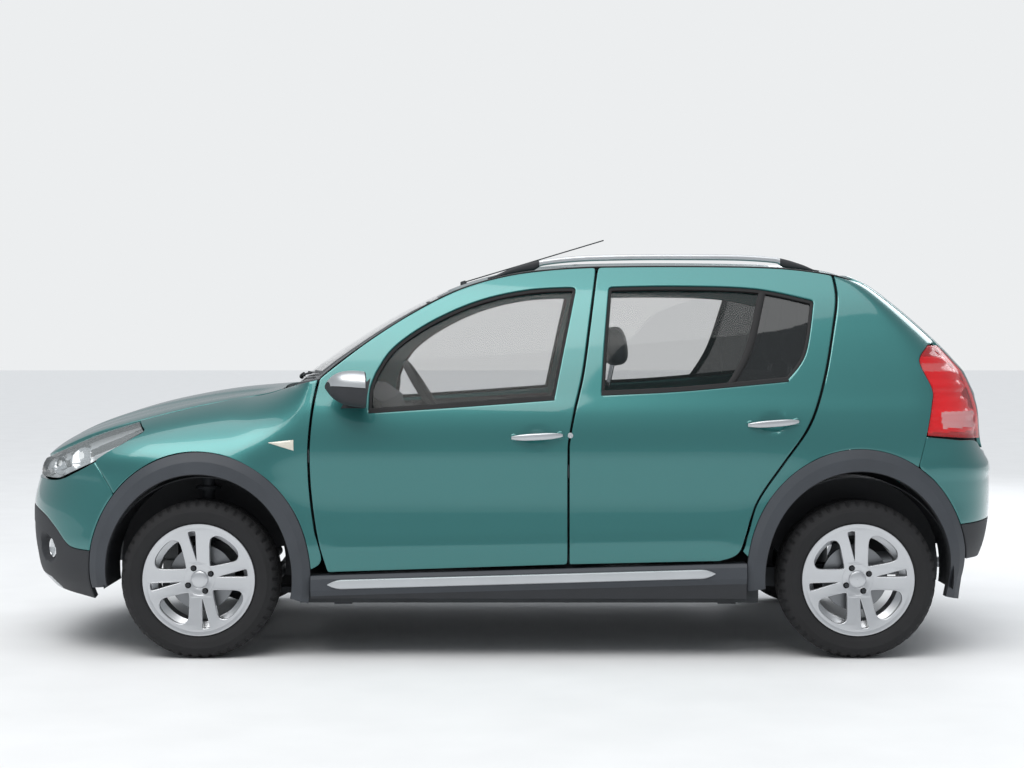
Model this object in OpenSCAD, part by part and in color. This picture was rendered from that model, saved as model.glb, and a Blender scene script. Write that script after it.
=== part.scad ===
// Five-door hatchback with raised ride height, arch cladding and roof bars.
// Every body panel lies on one outer surface, so the panels share their edges.
// Stations are measured in millimetres behind the front axle, heights above the road.

/* [Layout] */
// Distance between the axles
wheelbase = 2588; // [2500:1:2700]
// Front axle to the foremost point of the bumper
front_overhang = 800; // [780:1:830]
// Rear axle to the rearmost point of the bumper
rear_overhang = 636; // [620:1:670]
// Distance between the wheels' middle planes on one axle
track = 1480; // [1460:1:1500]

/* [Body] */
// Width of the body at the door skins
body_w = 1728; // [1690:1:1760]
// Height of the roof above the road at the centre line
roof_h = 1579; // [1550:1:1620]
// Gap between two panels that move against each other
shut_gap = 8; // [7:0.5:12]
// Gap between two fixed panels
panel_gap = 0.8; // [0.6:0.1:2]
// Thickness of a door below its window
door_t = 70; // [50:1:85]
// Thickness of a door frame around its window
frame_t = 38; // [28:1:45]
// Thickness of wings, quarter panels and the roof
skin_t = 24; // [15:1:35]
// Thickness of the bumper covers
bumper_t = 26; // [18:1:40]
// Thickness of all window glass
glass_t = 5; // [3:0.5:8]
// How far the black arch and sill cladding stands out from the body
cladding_out = 12; // [6:1:16]

/* [Wheels] */
// Outer diameter of a tyre
tyre_d = 621; // [600:1:640]
// Width of a tyre across its side walls
tyre_w = 195; // [175:1:205]
// Diameter of the rim at the bead seat
rim_d = 406; // [380:1:420]
// Circle on which the wheel bolts lie
bolt_circle_d = 100; // [98:1:110]
// Radius of the spindle on which a wheel turns
spindle_r = 27; // [24:0.5:30]

/* [Chassis] */
// Height of the floor's underside above the road
floor_z = 215; // [190:1:240]
// Tilt of the steering column from the horizontal
column_tilt = 32; // [25:1:40]
// Outer diameter of the steering wheel
steering_wheel_d = 375; // [360:1:390]
// Height of the roof bars above the gutter line
rail_h = 46; // [35:1:60]

/* [Hidden] */

paint = [0.13, 0.42, 0.41];
black = [0.10, 0.10, 0.11];
dark = [0.16, 0.17, 0.18];
silver = [0.78, 0.79, 0.80];
steel = [0.45, 0.46, 0.48];
clear = [0.75, 0.84, 0.86];
red = [0.75, 0.08, 0.10];
fabric = [0.25, 0.26, 0.28];

LEFT = -1;
RIGHT = 1;
length = front_overhang + wheelbase + rear_overhang;
axle_z = tyre_d / 2;
half_track = track / 2;
seat_gap = 0.4;

// Moves a shape drawn in stations into the part's frame, whose origin is under the middle of the car
module place() { translate([front_overhang - length / 2, 0, 0]) children(); }

// Draws a right-hand shape, or its mirror image on the left
module on_side(side) { mirror([0, side == LEFT ? 1 : 0, 0]) children(); }

// Draws a right-hand shape on both sides
module both_sides() {
    on_side(RIGHT) children();
    on_side(LEFT) children();
}

// Station of a point given behind the rear axle
function r(d) = wheelbase + d;
function mix(a, b, t) = a + (b - a) * t;
function clamp01(t) = max(0, min(1, t));
function flat(lists) = [for (l = lists) each l];
function reversed(l) = [for (i = [len(l) - 1:-1:0]) l[i]];

// Curves through a few points: along() reads a graph, edge() samples a free outline

function span(p, x, i = 0) = i >= len(p) - 2 || x < p[i + 1][0] ? i : span(p, x, i + 1);
function slope(p, i) =
    let (a = max(i - 1, 0), b = min(i + 1, len(p) - 1)) (p[b][1] - p[a][1]) / (p[b][0] - p[a][0]);
function hermite(a, b, ma, mb, t) =
    a * (2 * t * t * t - 3 * t * t + 1) + ma * (t * t * t - 2 * t * t + t)
    + b * (3 * t * t - 2 * t * t * t) + mb * (t * t * t - t * t);
function along(p, x) =
    let (i = span(p, x), h = p[i + 1][0] - p[i][0], t = clamp01((x - p[i][0]) / h))
    hermite(p[i][1], p[i + 1][1], slope(p, i) * h, slope(p, i + 1) * h, t);
function spline(p, t) =
    let (n = len(p) - 1, i = min(n - 1, floor(t * n)), s = t * n - i,
         before = p[max(i - 1, 0)], after = p[min(i + 2, n)])
    hermite(p[i], p[i + 1], (p[i + 1] - before) / 2, (after - p[i]) / 2, s);
function edge(p, n) = [for (i = [0:n]) spline(p, i / n)];

// The outer body surface

shoulder_z = 700;
nose_l = 750;
nose_n = 2.6;
tail_n = 3;
crown_n = 2.7;
bow = 0.03;
half_w = body_w / 2;

// Half width of the door section, as an inset from the widest point, by height
section_inset = [
    [180, 76], [300, 26], [380, 13], [440, 5], [500, 9], [610, 15], [720, 7], [800, 0], [880, 6],
    [960, 26], [1040, 56], [1170, 106], [1300, 160], [1430, 220], [1560, 296]];
// Foremost station by height, up to the shoulder
nose_profile = [[180, 130], [250, 70], [300, 30], [420, 6], [520, 0], [600, 4], [700, 30]];
// Rearmost station by height, as a distance ahead of the rearmost point
tail_profile = [
    [300, 80], [400, 34], [500, 9], [600, 0], [740, 8], [840, 44], [986, 60], [1115, 107],
    [1172, 154], [1225, 204], [1318, 306], [1400, 404], [1476, 504], [1504, 560], [1528, 618], [1580, 770]];
// How far ahead of the tail the sides begin to turn in, by height
tail_round = [[300, 520], [700, 500], [900, 430], [1150, 330], [1400, 200], [1580, 150]];
// Height of the bonnet's centre line by station, down over the nose
bonnet_line = [
    [-770, 700], [-735, 765], [-690, 812], [-640, 846], [-538, 897], [-433, 936], [-276, 984],
    [-119, 1019], [39, 1045], [196, 1060], [330, 1068]];
// Height of the roof's centre line by station, as a drop from its highest point
roof_drop = [[930, 122], [1044, 79], [1176, 44], [1350, 13], [1613, 0], [r(-538), 0], [r(-188), 13],
    [r(-35), 31], [r(32), 57], [r(90), 80]];
// Height of the gutter between door tops and roof, by station
gutter_line = [
    [470, 1103], [550, 1170], [704, 1281], [860, 1379], [979, 1441], [1100, 1486], [1261, 1523],
    [1423, 1541], [1573, 1549], [r(-588), 1551], [r(-271), 1543], [r(-64), 1517], [r(20), 1494],
        [r(90), 1470]];

function turn_in(t, n) = pow(max(0, 1 - pow(max(0, t), n)), 1 / n);
function nose_tip(z) = -front_overhang + along(nose_profile, z);
function nose_turn(d, z) = turn_in((nose_tip(z) + nose_l - d) / nose_l, nose_n);
function tail_tip(z) = r(rear_overhang) - along(tail_profile, z);
function tail_turn(d, z) = let (l = along(tail_round, z)) turn_in((d - tail_tip(z) + l) / l, tail_n);
function bowed(d) = 1 - bow * pow((d - wheelbase / 2) / wheelbase, 2);
function wall(d, z) =
    (half_w - along(section_inset, z)) * bowed(d) * nose_turn(d, min(z, shoulder_z)) * tail_turn(d, z);
// Over the front wheels the sides roll over into the bonnet
function bonnet_wall(d, z) =
    wall(d, shoulder_z)
    * turn_in((z - shoulder_z) / max(1, along(bonnet_line, d) - shoulder_z), crown_n);
function cabin_share(d) = let (t = clamp01((d - 120) / 320)) t * t * (3 - 2 * t);
function side_y(d, z) =
    z <= shoulder_z || d > 440 ? wall(d, z) : mix(bonnet_wall(d, z), wall(d, z), cabin_share(d));

function roof_z(d) = roof_h - along(roof_drop, d);
function gutter_z(d) = along(gutter_line, d) + roof_h - 1579;
// Station on the tail at a half width and height, found by halving
function tail_d(y, z, a = 0, b = 0, n = 18) =
    a == b ? tail_d(y, z, tail_tip(z) - along(tail_round, z), tail_tip(z), n)
    : n == 0 ? (a + b) / 2
    : let (m = (a + b) / 2) side_y(m, z) > y ? tail_d(y, z, m, b, n - 1) : tail_d(y, z, a, m, n - 1);
// Station on the nose at a half width and height
function nose_d(y, z, a = 0, b = 0, n = 18) =
    a == b ? nose_d(y, z, -front_overhang, -200, n)
    : n == 0 ? (a + b) / 2
    : let (m = (a + b) / 2) side_y(m, z) < y ? nose_d(y, z, m, b, n - 1) : nose_d(y, z, a, m, n - 1);

// Outlines in side view, as loops of [station, height]

// Edge of a loop moved inwards by a gap, with mitred corners
function loop_normal(a, b) = let (v = b - a, l = max(norm(v), 0.001)) [-v[1], v[0]] / l;
function inset_loop(p, g) = [
    for (i = [0:len(p) - 1])
        let (a = p[(i + len(p) - 1) % len(p)], b = p[i], c = p[(i + 1) % len(p)],
             n1 = loop_normal(a, b), n2 = loop_normal(b, c), m = (n1 + n2) / max(0.2, norm(n1 + n2)))
            b + m * g / max(0.5, m * n1)];

// Outline of four sides, each given front to rear or bottom to top, with nu and nv steps
function outline(bottom, rear, top, front, nu, nv) = concat(
    [for (i = [0:nu - 1]) spline(bottom, i / nu)],
    [for (i = [0:nv - 1]) spline(rear, i / nv)],
    [for (i = [0:nu - 1]) spline(top, 1 - i / nu)],
    [for (i = [0:nv - 1]) spline(front, 1 - i / nv)]);

// Grid of points that fills such an outline
function filled(loop, nu, nv) = [
    for (j = [0:nv]) [
        for (i = [0:nu])
            let (u = i / nu, v = j / nv, n = len(loop),
                 b = loop[i], rr = loop[nu + j], t = loop[2 * nu + nv - i], f = loop[(n - j) % n])
                (b * (1 - v) + t * v) + (f * (1 - u) + rr * u)
                - (loop[0] * (1 - u) * (1 - v) + loop[nu] * u * (1 - v)
                   + loop[2 * nu + nv] * (1 - u) * v + loop[nu + nv] * u * v)]];

// Closed solids between two grids of points

function quads(rows, cols, wrap, o, flip) = [
    for (i = [0:rows - 2]) for (j = [0:wrap ? cols - 1 : cols - 2])
        let (a = o + i * cols + j, b = o + i * cols + (j + 1) % cols, c = a + cols, d = b + cols)
            each flip ? [[a, b, d], [a, d, c]] : [[a, d, b], [a, c, d]]];
function walls(loop, n) = [
    for (k = [0:len(loop) - 1])
        let (a = loop[k], b = loop[(k + 1) % len(loop)]) each [[a, b, b + n], [a, b + n, a + n]]];

// Faces turned so that they look outwards, whichever way the grids ran
function volume_sign(p, f) = [for (t = f) cross(p[t[0]], p[t[1]]) * p[t[2]]] * [for (t = f) 1];
module solid(p, f) {
    polyhedron(p, volume_sign(p, f) < 0 ? f : [for (t = f) reversed(t)]);
}

module slab(outer, inner) {
    rows = len(outer);
    cols = len(outer[0]);
    n = rows * cols;
    rim = concat(
        [for (j = [0:cols - 1]) j],
        [for (i = [1:rows - 1]) i * cols + cols - 1],
        [for (j = [cols - 2:-1:0]) (rows - 1) * cols + j],
        [for (i = [rows - 2:-1:1]) i * cols]);
    solid(concat(flat(outer), flat(inner)),
        concat(quads(rows, cols, false, 0, false), quads(rows, cols, false, n, true), walls(rim, n)));
}

// The same round a hole: the first row is the outline and the last row is the hole
module ring_slab(outer, inner) {
    rows = len(outer);
    cols = len(outer[0]);
    n = rows * cols;
    solid(concat(flat(outer), flat(inner)), concat(
        quads(rows, cols, true, 0, false), quads(rows, cols, true, n, true),
        walls([for (j = [0:cols - 1]) j], n),
        walls([for (j = [cols - 1:-1:0]) (rows - 1) * cols + j], n)));
}

// A tube of rings, closed at both ends
module tube(rings) {
    rows = len(rings);
    cols = len(rings[0]);
    last = (rows - 1) * cols;
    solid(flat(rings), concat(
        quads(rows, cols, true, 0, false),
        [for (j = [1:cols - 2]) [0, j, j + 1]],
        [for (j = [1:cols - 2]) [last, last + j + 1, last + j]]));
}

function on_body(p, depth = 0) = [p[0], side_y(p[0], p[1]) - depth, p[1]];
// Outward direction of the body surface
function body_normal(d, z) =
    let (v = [(side_y(d - 4, z) - side_y(d + 4, z)) / 8, 1,
        (side_y(d, z - 4) - side_y(d, z + 4)) / 8]) v / norm(v);
function below_body(p, depth) = on_body(p) - depth * body_normal(p[0], p[1]);

// A body panel of even thickness on the outer surface
module side_panel(grid, t, depth = 0) {
    slab([for (row = grid) [for (p = row) below_body(p, depth)]],
        [for (row = grid) [for (p = row) below_body(p, depth + t)]]);
}

// Shut lines that the doors share with the panels round them

front_shut = [[505, 340], [468, 474], [443, 640], [436, 800], [443, 930], [454, 1020], [470, 1103]];
middle_shut = [
    [1450, 371], [1450, 600], [1450, 800], [1453, 860], [1474, 970], [1510, 1120], [1540, 1320],
        [1573, 1549]];
rear_shut = [
    [r(-548), 384], [r(-475), 412], [r(-442), 490], [r(-400), 620], [r(-300), 770], [r(-195), 920],
    [r(-130), 1090], [r(-80), 1300], [r(-58), 1420], [r(-64), 1517]];
sill_front = [505, 340];
sill_middle = [1450, 371];
sill_rear = [r(-548), 384];
function gutter_points(a, b, n) = [for (i = [0:n]) let (d = mix(a, b, i / n)) [d, gutter_z(d)]];

front_window = [
    [[668, 975], [1040, 1000], [1396, 1026]],
    [[1396, 1026], [1430, 1190], [1488, 1466]],
    [[694, 1125], [760, 1222], [900, 1322], [1090, 1408], [1290, 1454], [1488, 1466]],
    [[668, 975], [672, 1060], [694, 1125]]];
rear_window = [
    [[1580, 1044], [1900, 1060], [r(-270), 1098]],
    [[r(-270), 1098], [r(-195), 1200], [r(-150), 1410]],
    [[1618, 1466], [1900, 1470], [r(-380), 1458], [r(-150), 1410]],
    [[1580, 1044], [1596, 1240], [1618, 1466]]];

door_u = 8;
door_v = 6;
function front_door_loop() = outline(
    [sill_front, mix(sill_front, sill_middle, 0.5), sill_middle], middle_shut,
    gutter_points(470, 1573, 6), front_shut, door_u, door_v);
function rear_door_loop() = outline(
    [sill_middle, mix(sill_middle, sill_rear, 0.5), sill_rear], rear_shut,
    gutter_points(1573, r(-64), 6), middle_shut, door_u, door_v);
function window_loop(w) = outline(w[0], w[1], w[2], w[3], door_u, door_v);

// Depth of a door behind its skin: full below the window, less in the frame and along the edges
door_rings = 5;
door_taper = 10;
edge_share = 0.55;
function door_depth(z, k) = mix(door_t, frame_t, clamp01((z - 930) / 90)) * (k == 0 ? edge_share : 1);

module door_solid(loop, window) {
    skin = inset_loop(loop, shut_gap / 2);
    back = inset_loop(loop, shut_gap / 2 + door_taper);
    hole = window_loop(window);
    ring_slab(
        [for (k = [0:door_rings]) [for (i = [0:len(skin) - 1])
            on_body(mix(skin[i], hole[i], k / door_rings))]],
        [for (k = [0:door_rings]) [for (i = [0:len(back) - 1])
            let (p = mix(back[i], hole[i], k / door_rings)) on_body(p, door_depth(p[1], k))]]);
}

glass_depth = 16;
module door_glass(window) {
    grid = filled(inset_loop(window_loop(window), seat_gap), door_u, door_v);
    slab([for (row = grid) [for (p = row) on_body(p, glass_depth)]],
        [for (row = grid) [for (p = row) on_body(p, glass_depth + glass_t)]]);
}

module door(side, loop, window) { color(paint) place() on_side(side) door_solid(loop, window); }
module glass(side, window) { color(clear) place() on_side(side) door_glass(window); }

// Pull handle across a shallow cup, and the mirror on the front doors

handle_l = 200;
handle_seat = -0.6;
module handle(d, z) {
    y = side_y(d, z);
    hull() for (k = [-1, 1]) translate([d + k * (handle_l / 2 - 14), y + 20, z]) rotate([90, 0, 0])
        cylinder(r = 13, h = 10, $fn = 16);
    for (k = [-1, 1]) translate([d + k * 82 - 9, y + handle_seat, z - 9]) cube([18, 14, 18]);
}

mirror_z = 1055;
mirror_d = 595;
module door_mirror() {
    y = side_y(mirror_d, mirror_z);
    translate([mirror_d, y, mirror_z]) {
        hull() {
            translate([-38, 70, 10]) sphere(r = 52, $fn = 16);
            translate([28, 60, 12]) rotate([-90, 0, 0]) cylinder(r = 66, h = 8, $fn = 16);
            translate([20, 150, 16]) rotate([-90, 0, 0]) cylinder(r = 56, h = 8, $fn = 16);
            translate([-20, 140, 14]) sphere(r = 44, $fn = 16);
        }
    }
    base = [for (z = [-52, -12]) [for (d = [-20, 26]) [mirror_d + d, mirror_z + z]]];
    slab([for (row = base) [for (p = row) on_body(p, -seat_gap)]],
        [for (row = base) [for (p = row) [p[0], y + 80, p[1]]]]);
}

window_bar_w = 26;
module window_bar() {
    foot = [r(-408), 1092];
    head = [r(-372), 1446];
    bar = [for (v = [0:door_v]) let (p = mix(foot, head, v / door_v))
        [p - [window_bar_w / 2, 0], p + [window_bar_w / 2, 0]]];
    slab([for (row = bar) [for (p = row) on_body(p, glass_depth - 10)]],
        [for (row = bar) [for (p = row) on_body(p, glass_depth - seat_gap)]]);
}

module fittings_front(side) {
    color(black) place() on_side(side) {
        handle(1327, 876);
        door_mirror();
    }
}
module fittings_rear(side) {
    color(black) place() on_side(side) {
        handle(r(-338), 927);
        window_bar();
    }
}

// Wheel arches: an ellipse over each axle, with cladding outside it

arch_rx = 368;
arch_rz = 398;
arch_z = axle_z + 18;
lip_rx = 442;
lip_rz = 486;
rear_arch_extra = 12;
arch_step = 8;
function arch_extra(d) = d > wheelbase / 2 ? rear_arch_extra : 0;
function arch_point(d, a, g = 0) = [d + (arch_rx - g) * cos(a),
    arch_z + (arch_rz + arch_extra(d) - g) * sin(a)];
function lip_point(d, a, g = 0) = [d + (lip_rx - g) * cos(a), arch_z + (lip_rz + arch_extra(d) - g) * sin(a)];
// Half length of the cladding's outer edge at a height
function lip_half(d, z) = lip_rx * sqrt(max(0, 1 - pow((z - arch_z) / (lip_rz + arch_extra(d)), 2)));

// Front wing: behind the lamp and bumper, over the arch, up to the bonnet and door

split_low_a = 139;
wing_corner = [-420, 774];
wing_tip = [-232, 890];
wing_head = [-269, 928];
function wing_front() = let (low = lip_point(0, split_low_a)) concat(
    [for (i = [0:2]) mix(low, wing_corner, i / 3)], [for (i = [0:3]) mix(wing_corner, wing_tip, i / 4)],
    [for (i = [0:2]) mix(wing_tip, wing_head, i / 2)]);
bonnet_edge = [[-690, 778], [-600, 818], [-454, 878], [-269, 930], [-35, 987], [234, 1036], [330, 1064]];
function shut_at(line, z) = along([for (p = line) [p[1], p[0]]], z);
wing_top = [[-269, 928], [-150, 958], [-35, 985], [100, 1013], [234, 1034], [350, 1070]];
wing_u = 17;
wing_v = 9;
function wing_grid() = let (
        lip = [for (i = [0:wing_u]) lip_point(0, split_low_a - arch_step * i)],
        rear = concat([lip[wing_u]], [for (i = [1:wing_v]) let (z = mix(300, 1098, i / wing_v))
            [shut_at(front_shut, z) - shut_gap / 2, z]]),
        top = concat(wing_top, [rear[wing_v]]),
        loop = outline(lip, rear, top, wing_front(), wing_u, wing_v))
    filled(inset_loop(loop, panel_gap / 2), wing_u, wing_v);
module wing() { side_panel(wing_grid(), skin_t); }

module front_wings() { color(paint) place() both_sides() wing(); }

// Rear quarter: from the rear door to the lamp, tailgate and bumper

lamp_front = [[r(262), 878], [r(290), 1000], [r(296), 1060], [r(254), 1170], [r(300), 1232]];
function lamp_edge() = edge(lamp_front, 8);
gate_top_half = half_w - 264;
gate_low_half = half_w - 304;
function gate_half(z) =
    mix(gate_low_half, gate_top_half, clamp01((z - 830) / 650)) - 60 * pow(clamp01((z - 1230) / 300), 2);
function gate_edge(z) = [tail_d(gate_half(z), z), z];
quarter_top_z = 1486;
quarter_u = 14;
quarter_v = 12;
quarter_split = 12;
// Heights on the door's edge that lines run to from the arch, ahead of the split
quarter_front_z = [428, 478, 527, 580, 645, 724, 800, 880, 970, 1080, 1210, 1360, 1512];
function quarter_loop() = let (
        lip = [for (i = [0:quarter_u]) lip_point(wheelbase, 171 - arch_step * i)],
        front = [for (z = quarter_front_z) [shut_at(rear_shut, z) + shut_gap / 2, z]],
        rear = concat([lip[quarter_u]], lamp_edge(), [for (z = [1244, 1360, quarter_top_z]) gate_edge(z)]),
        top = concat(front, [for (i = [0.5, 1]) mix(front[quarter_split], rear[quarter_v], i)]))
    inset_loop(outline(lip, rear, top, [lip[0], top[0]], quarter_u, quarter_v), panel_gap / 2);
function quarter_grid() = let (
        loop = quarter_loop(), head = 2 * quarter_u + quarter_v,
        line = function(i, j) mix(loop[i], loop[head - i], j / quarter_v),
        behind = filled(concat([for (i = [quarter_split:head - quarter_split - 1]) loop[i]],
            [for (j = [quarter_v:-1:1]) line(quarter_split, j)]), quarter_u - quarter_split, quarter_v))
    [for (j = [0:quarter_v]) concat([for (i = [0:quarter_split - 1]) line(i, j)], behind[j])];
module quarter() { side_panel(quarter_grid(), skin_t); }
module rear_quarters() { color(paint) place() both_sides() quarter(); }

// Roof between the gutters, and the windscreen below it

roof_front = [[0, 950], [0.5, 962], [1, 1008]];
gutter_gap = 30;
gate_axis_d = r(18);
roof_u = 6;
roof_v = 10;
function roof_point(d, c) =
    let (ye = side_y(d, gutter_z(d)) - gutter_gap) [d, ye * c, roof_z(d) - (roof_z(d) - gutter_z(d)) * c * c];
function roof_at(i, j, drop) =
    let (c = j / roof_u, d = mix(along(roof_front, abs(c)), gate_axis_d - shut_gap / 2, i / roof_v))
    roof_point(d, c) - [0, 0, drop];
// Point between two rows of the roof, on the straight line from one to the next
function roof_between(i, j, drop) =
    let (a = min(floor(i), roof_v - 1)) mix(roof_at(a, j, drop), roof_at(a + 1, j, drop), i - a);
// Layer of the roof between two depths, over some rows and a range of columns
module roof_layer(rows, j0, j1, top, t) {
    slab([for (i = rows) [for (j = [j0:j1]) roof_between(i, j, top)]],
        [for (i = rows) [for (j = [j0:j1]) roof_between(i, j, top + t)]]);
}
module roof() { color(paint) place() roof_layer([0:roof_v], -roof_u, roof_u, 0, skin_t); }

screen_line = [[318, 1078], [406, 1148], [511, 1220], [616, 1287], [721, 1349], [826, 1405], [946.4, 1463.8]];
screen_edge = [[462, 1102], [546, 1173], [700, 1284], [856, 1382], [1004.4, 1450.8]];
screen_u = 6;
screen_v = 8;
function screen_point(t, c) = let (
        m = spline(screen_line, t), e = spline(screen_edge, t),
        y = side_y(e[0] + 6, e[1]) - gutter_gap, k = pow(abs(c), 2.2))
    [mix(m[0], e[0], k), y * c, mix(m[1], e[1], k)];
// Layer of the windscreen between two depths, over a range of columns
screen_in = [0.5, 0, -0.87];
module screen_layer(j0, j1, top, t, end = 1) {
    rows = [for (i = [0:screen_v]) end * i / screen_v];
    slab([for (v = rows) [for (j = [j0:j1]) screen_point(v, j / screen_u) + top * screen_in]],
        [for (v = rows) [for (j = [j0:j1]) screen_point(v, j / screen_u) + (top + t) * screen_in]]);
}
module windscreen() { color(clear) place() screen_layer(-screen_u, screen_u, 0, glass_t); }

// Bonnet, hinged at its rear edge

bonnet_rear_d = 300;
bonnet_t = 22;
bonnet_taper = 12;
bonnet_u = 5;
bonnet_v = 12;
function bonnet_rear(c) = bonnet_rear_d - 30 * max(0, 1 - pow(c / 0.8, 2));
function bonnet_point(d, c, depth) =
    let (ze = along(bonnet_edge, d), ye = side_y(d, ze) - shut_gap, zc = along(bonnet_line, d))
    [d, (ye - (depth > 0 ? bonnet_taper : 0)) * c, zc - (zc - ze) * pow(abs(c), 2.3) - depth];
function bonnet_at(i, j, depth) = let (
        c = j / bonnet_u, front = mix(-706, -684, c * c) + (depth > 0 ? 10 : 0), rear = bonnet_rear(c))
    bonnet_point(mix(front, rear, i / bonnet_v), c, depth);
module bonnet() {
    color(paint) place()
        slab([for (i = [0:bonnet_v]) [for (j = [-bonnet_u:bonnet_u]) bonnet_at(i, j, 0)]],
            [for (i = [0:bonnet_v]) [for (j = [-bonnet_u:bonnet_u]) bonnet_at(i, j, bonnet_t)]]);
}

// Cowl between bonnet and windscreen

cowl_t = 12;
cowl_z = 1046;
// Its sides end inside the wings and the posts
cowl_c = 0.9;
function cowl_at(i, j, depth) = let (
        c = cowl_c * j / screen_u, foot = screen_point(0, c) + (glass_t + seat_gap) * screen_in - [2.2, 0, 0],
        nose = [bonnet_rear(c) + shut_gap, foot[1] * 0.86, cowl_z])
    mix(nose, foot, i / 3) - [0, 0, depth];
module cowl() {
    color(black) place()
        slab([for (i = [0:3]) [for (j = [-screen_u:screen_u]) cowl_at(i, j, 0)]],
            [for (i = [0:3]) [for (j = [-screen_u:screen_u]) cowl_at(i, j, cowl_t)]]);
}

// Bumpers wrap round the corners: s runs from the side to the centre line

function wrap_d(front, z, edge_d, s) =
    front
    ? let (tip = nose_tip(min(z, shoulder_z)), t0 = clamp01((tip + nose_l - edge_d) / nose_l),
           a = acos(pow(t0, nose_n / 2)) * (1 - s)) tip + nose_l * (1 - pow(cos(a), 2 / nose_n))
    : let (l = along(tail_round, z), tip = tail_tip(z), t0 = clamp01((edge_d - tip + l) / l),
           a = acos(pow(t0, tail_n / 2)) * (1 - s)) tip - l * (1 - pow(cos(a), 2 / tail_n));
function wrap_y(front, d, z, s) = s >= 1 ? 0 : side_y(d, z);
// Heights of the lower and upper edge are read at the station that a column has there
function wrap_z(front, line, edge, s, z) = along(line, wrap_d(front, z, edge(z), s));
module wrapped(front, edge, low, top, nu, nv, t) {
    half = [for (i = [0:nu])
        let (s = i / nu, zl = wrap_z(front, low, edge, s, wrap_z(front, low, edge, s, low[2][1])),
             zt = wrap_z(front, top, edge, s, wrap_z(front, top, edge, s, top[2][1])))
        [for (j = [0:nv]) let (z = mix(zl, zt, j / nv), d = wrap_d(front, z, edge(z), s))
            [d, wrap_y(front, d, z, s), z]]];
    outer = concat(half, [for (i = [nu - 1:-1:0]) [for (p = half[i]) [p[0], -p[1], p[2]]]]);
    pivot = front ? 200 : r(-200);
    f = 1 - t / 900;
    // The side edges run straight inwards, so that they stay clear of the arches
    slab(outer, [for (i = [0:2 * nu]) let (w = min(1, min(i, 2 * nu - i) * 0.4)) [for (p = outer[i])
        [mix(p[0], pivot + (p[0] - pivot) * f, w), p[1] * f, p[2]]]]);
}

lamp_nose = [[-722, 697], [-690, 696], [-655, 695], [-620, 696], [-587, 700], [-554, 714], [-521, 728],
    [-470, 751]];
split_low_z = lip_point(0, split_low_a)[1];
function front_bumper_edge(z) = -panel_gap - (z < split_low_z
    ? lip_half(0, z)
    : mix(lip_half(0, split_low_z), -wing_corner[0], (z - split_low_z) / (wing_corner[1] - split_low_z)));
rear_split_a = 59;
rear_split_z = lip_point(wheelbase, rear_split_a)[1];
function rear_bumper_edge(z) = 2.2 * panel_gap + (z < rear_split_z
    ? r(lip_half(wheelbase, z))
    : mix(r(lip_half(wheelbase, rear_split_z)), lamp_front[0][0],
        (z - rear_split_z) / (lamp_front[0][1] - rear_split_z)));
front_paint_low = [[-800, 575], [-740, 572], [-660, 545], [-600, 500], [-540, 440], [-500, 426], [-400, 422]];
front_paint_top = [[-800, 684], [-722, 688], [-620, 689], [-570, 699], [-504, 728], [-420, 768], [-350, 800]];
rear_paint_low = [[r(300), 526], [r(450), 528], [r(560), 532], [r(640), 534]];
rear_paint_top = [[r(200), 877], [r(265), 874], [r(400), 860], [r(500), 848], [r(540), 806],
    [r(580), 802], [r(640), 800]];
bumper_u = 9;
module bumpers() {
    color(paint) place() {
        wrapped(true, function(z) front_bumper_edge(z), front_paint_low, front_paint_top, bumper_u, 6,
            bumper_t);
        wrapped(false, function(z) rear_bumper_edge(z), rear_paint_low, rear_paint_top, bumper_u, 6,
            bumper_t);
    }
}

front_skirt_low = [[-800, 250], [-700, 244], [-560, 232], [-400, 222]];
rear_skirt_low = [[r(300), 385], [r(450), 385], [r(560), 372], [r(640), 366]];
function lowered(line, g) = [for (p = line) p - [0, g]];
module bumper_skirts() {
    color(black) place() {
        wrapped(true, function(z) front_bumper_edge(z), front_skirt_low,
            lowered(front_paint_low, 3.5 * panel_gap),
            bumper_u, 4, bumper_t);
        wrapped(false, function(z) rear_bumper_edge(z), rear_skirt_low, lowered(rear_paint_low, panel_gap),
            bumper_u, 3, bumper_t);
    }
}

// Grille between the headlamps, above the bumper

grille_top = 762;
lamp_inner = [[-722, 697], [-724, 730], [-716, 756]];
function lamp_inner_y(z) = side_y(along([for (p = lamp_inner) [p[1], p[0]]], z), z);
function grille_point(c, v) = let (
        y0 = (lamp_inner_y(690) - 24) * c, low = along(front_paint_top, nose_d(max(abs(y0), 20), 687))
            + seat_gap,
        z = mix(low, grille_top, v), y = (lamp_inner_y(max(z, 697)) - 24) * c)
    [nose_d(max(abs(y), 20), z) + 6, y, z];
module grille() {
    color(black) place() {
        grid = [for (j = [0:4]) [for (i = [-6:6]) grille_point(i / 6, j / 4)]];
        slab(grid, [for (row = grid) [for (p = row) p + [20, 0, 0]]]);
    }
}

// Lamps follow the outer surface

lamp_t = 30;
module headlamp() {
    low = concat(lamp_nose, [for (i = [0:4]) mix(wing_corner, wing_tip, i / 4)]);
    high = [[-716, 756], [-660, 782], [-590, 810], [-454, 866], [-360, 898], wing_head - [0, 3]];
    rear = [for (i = [0:4]) mix(wing_tip, wing_head - [0, 3], i / 4)];
    loop = outline(low, rear, high, lamp_inner, 12, 3);
    side_panel(filled(inset_loop(loop, 4 * panel_gap), 12, 3), lamp_t);
}
module headlamps() { color(clear) place() both_sides() headlamp(); }

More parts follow.
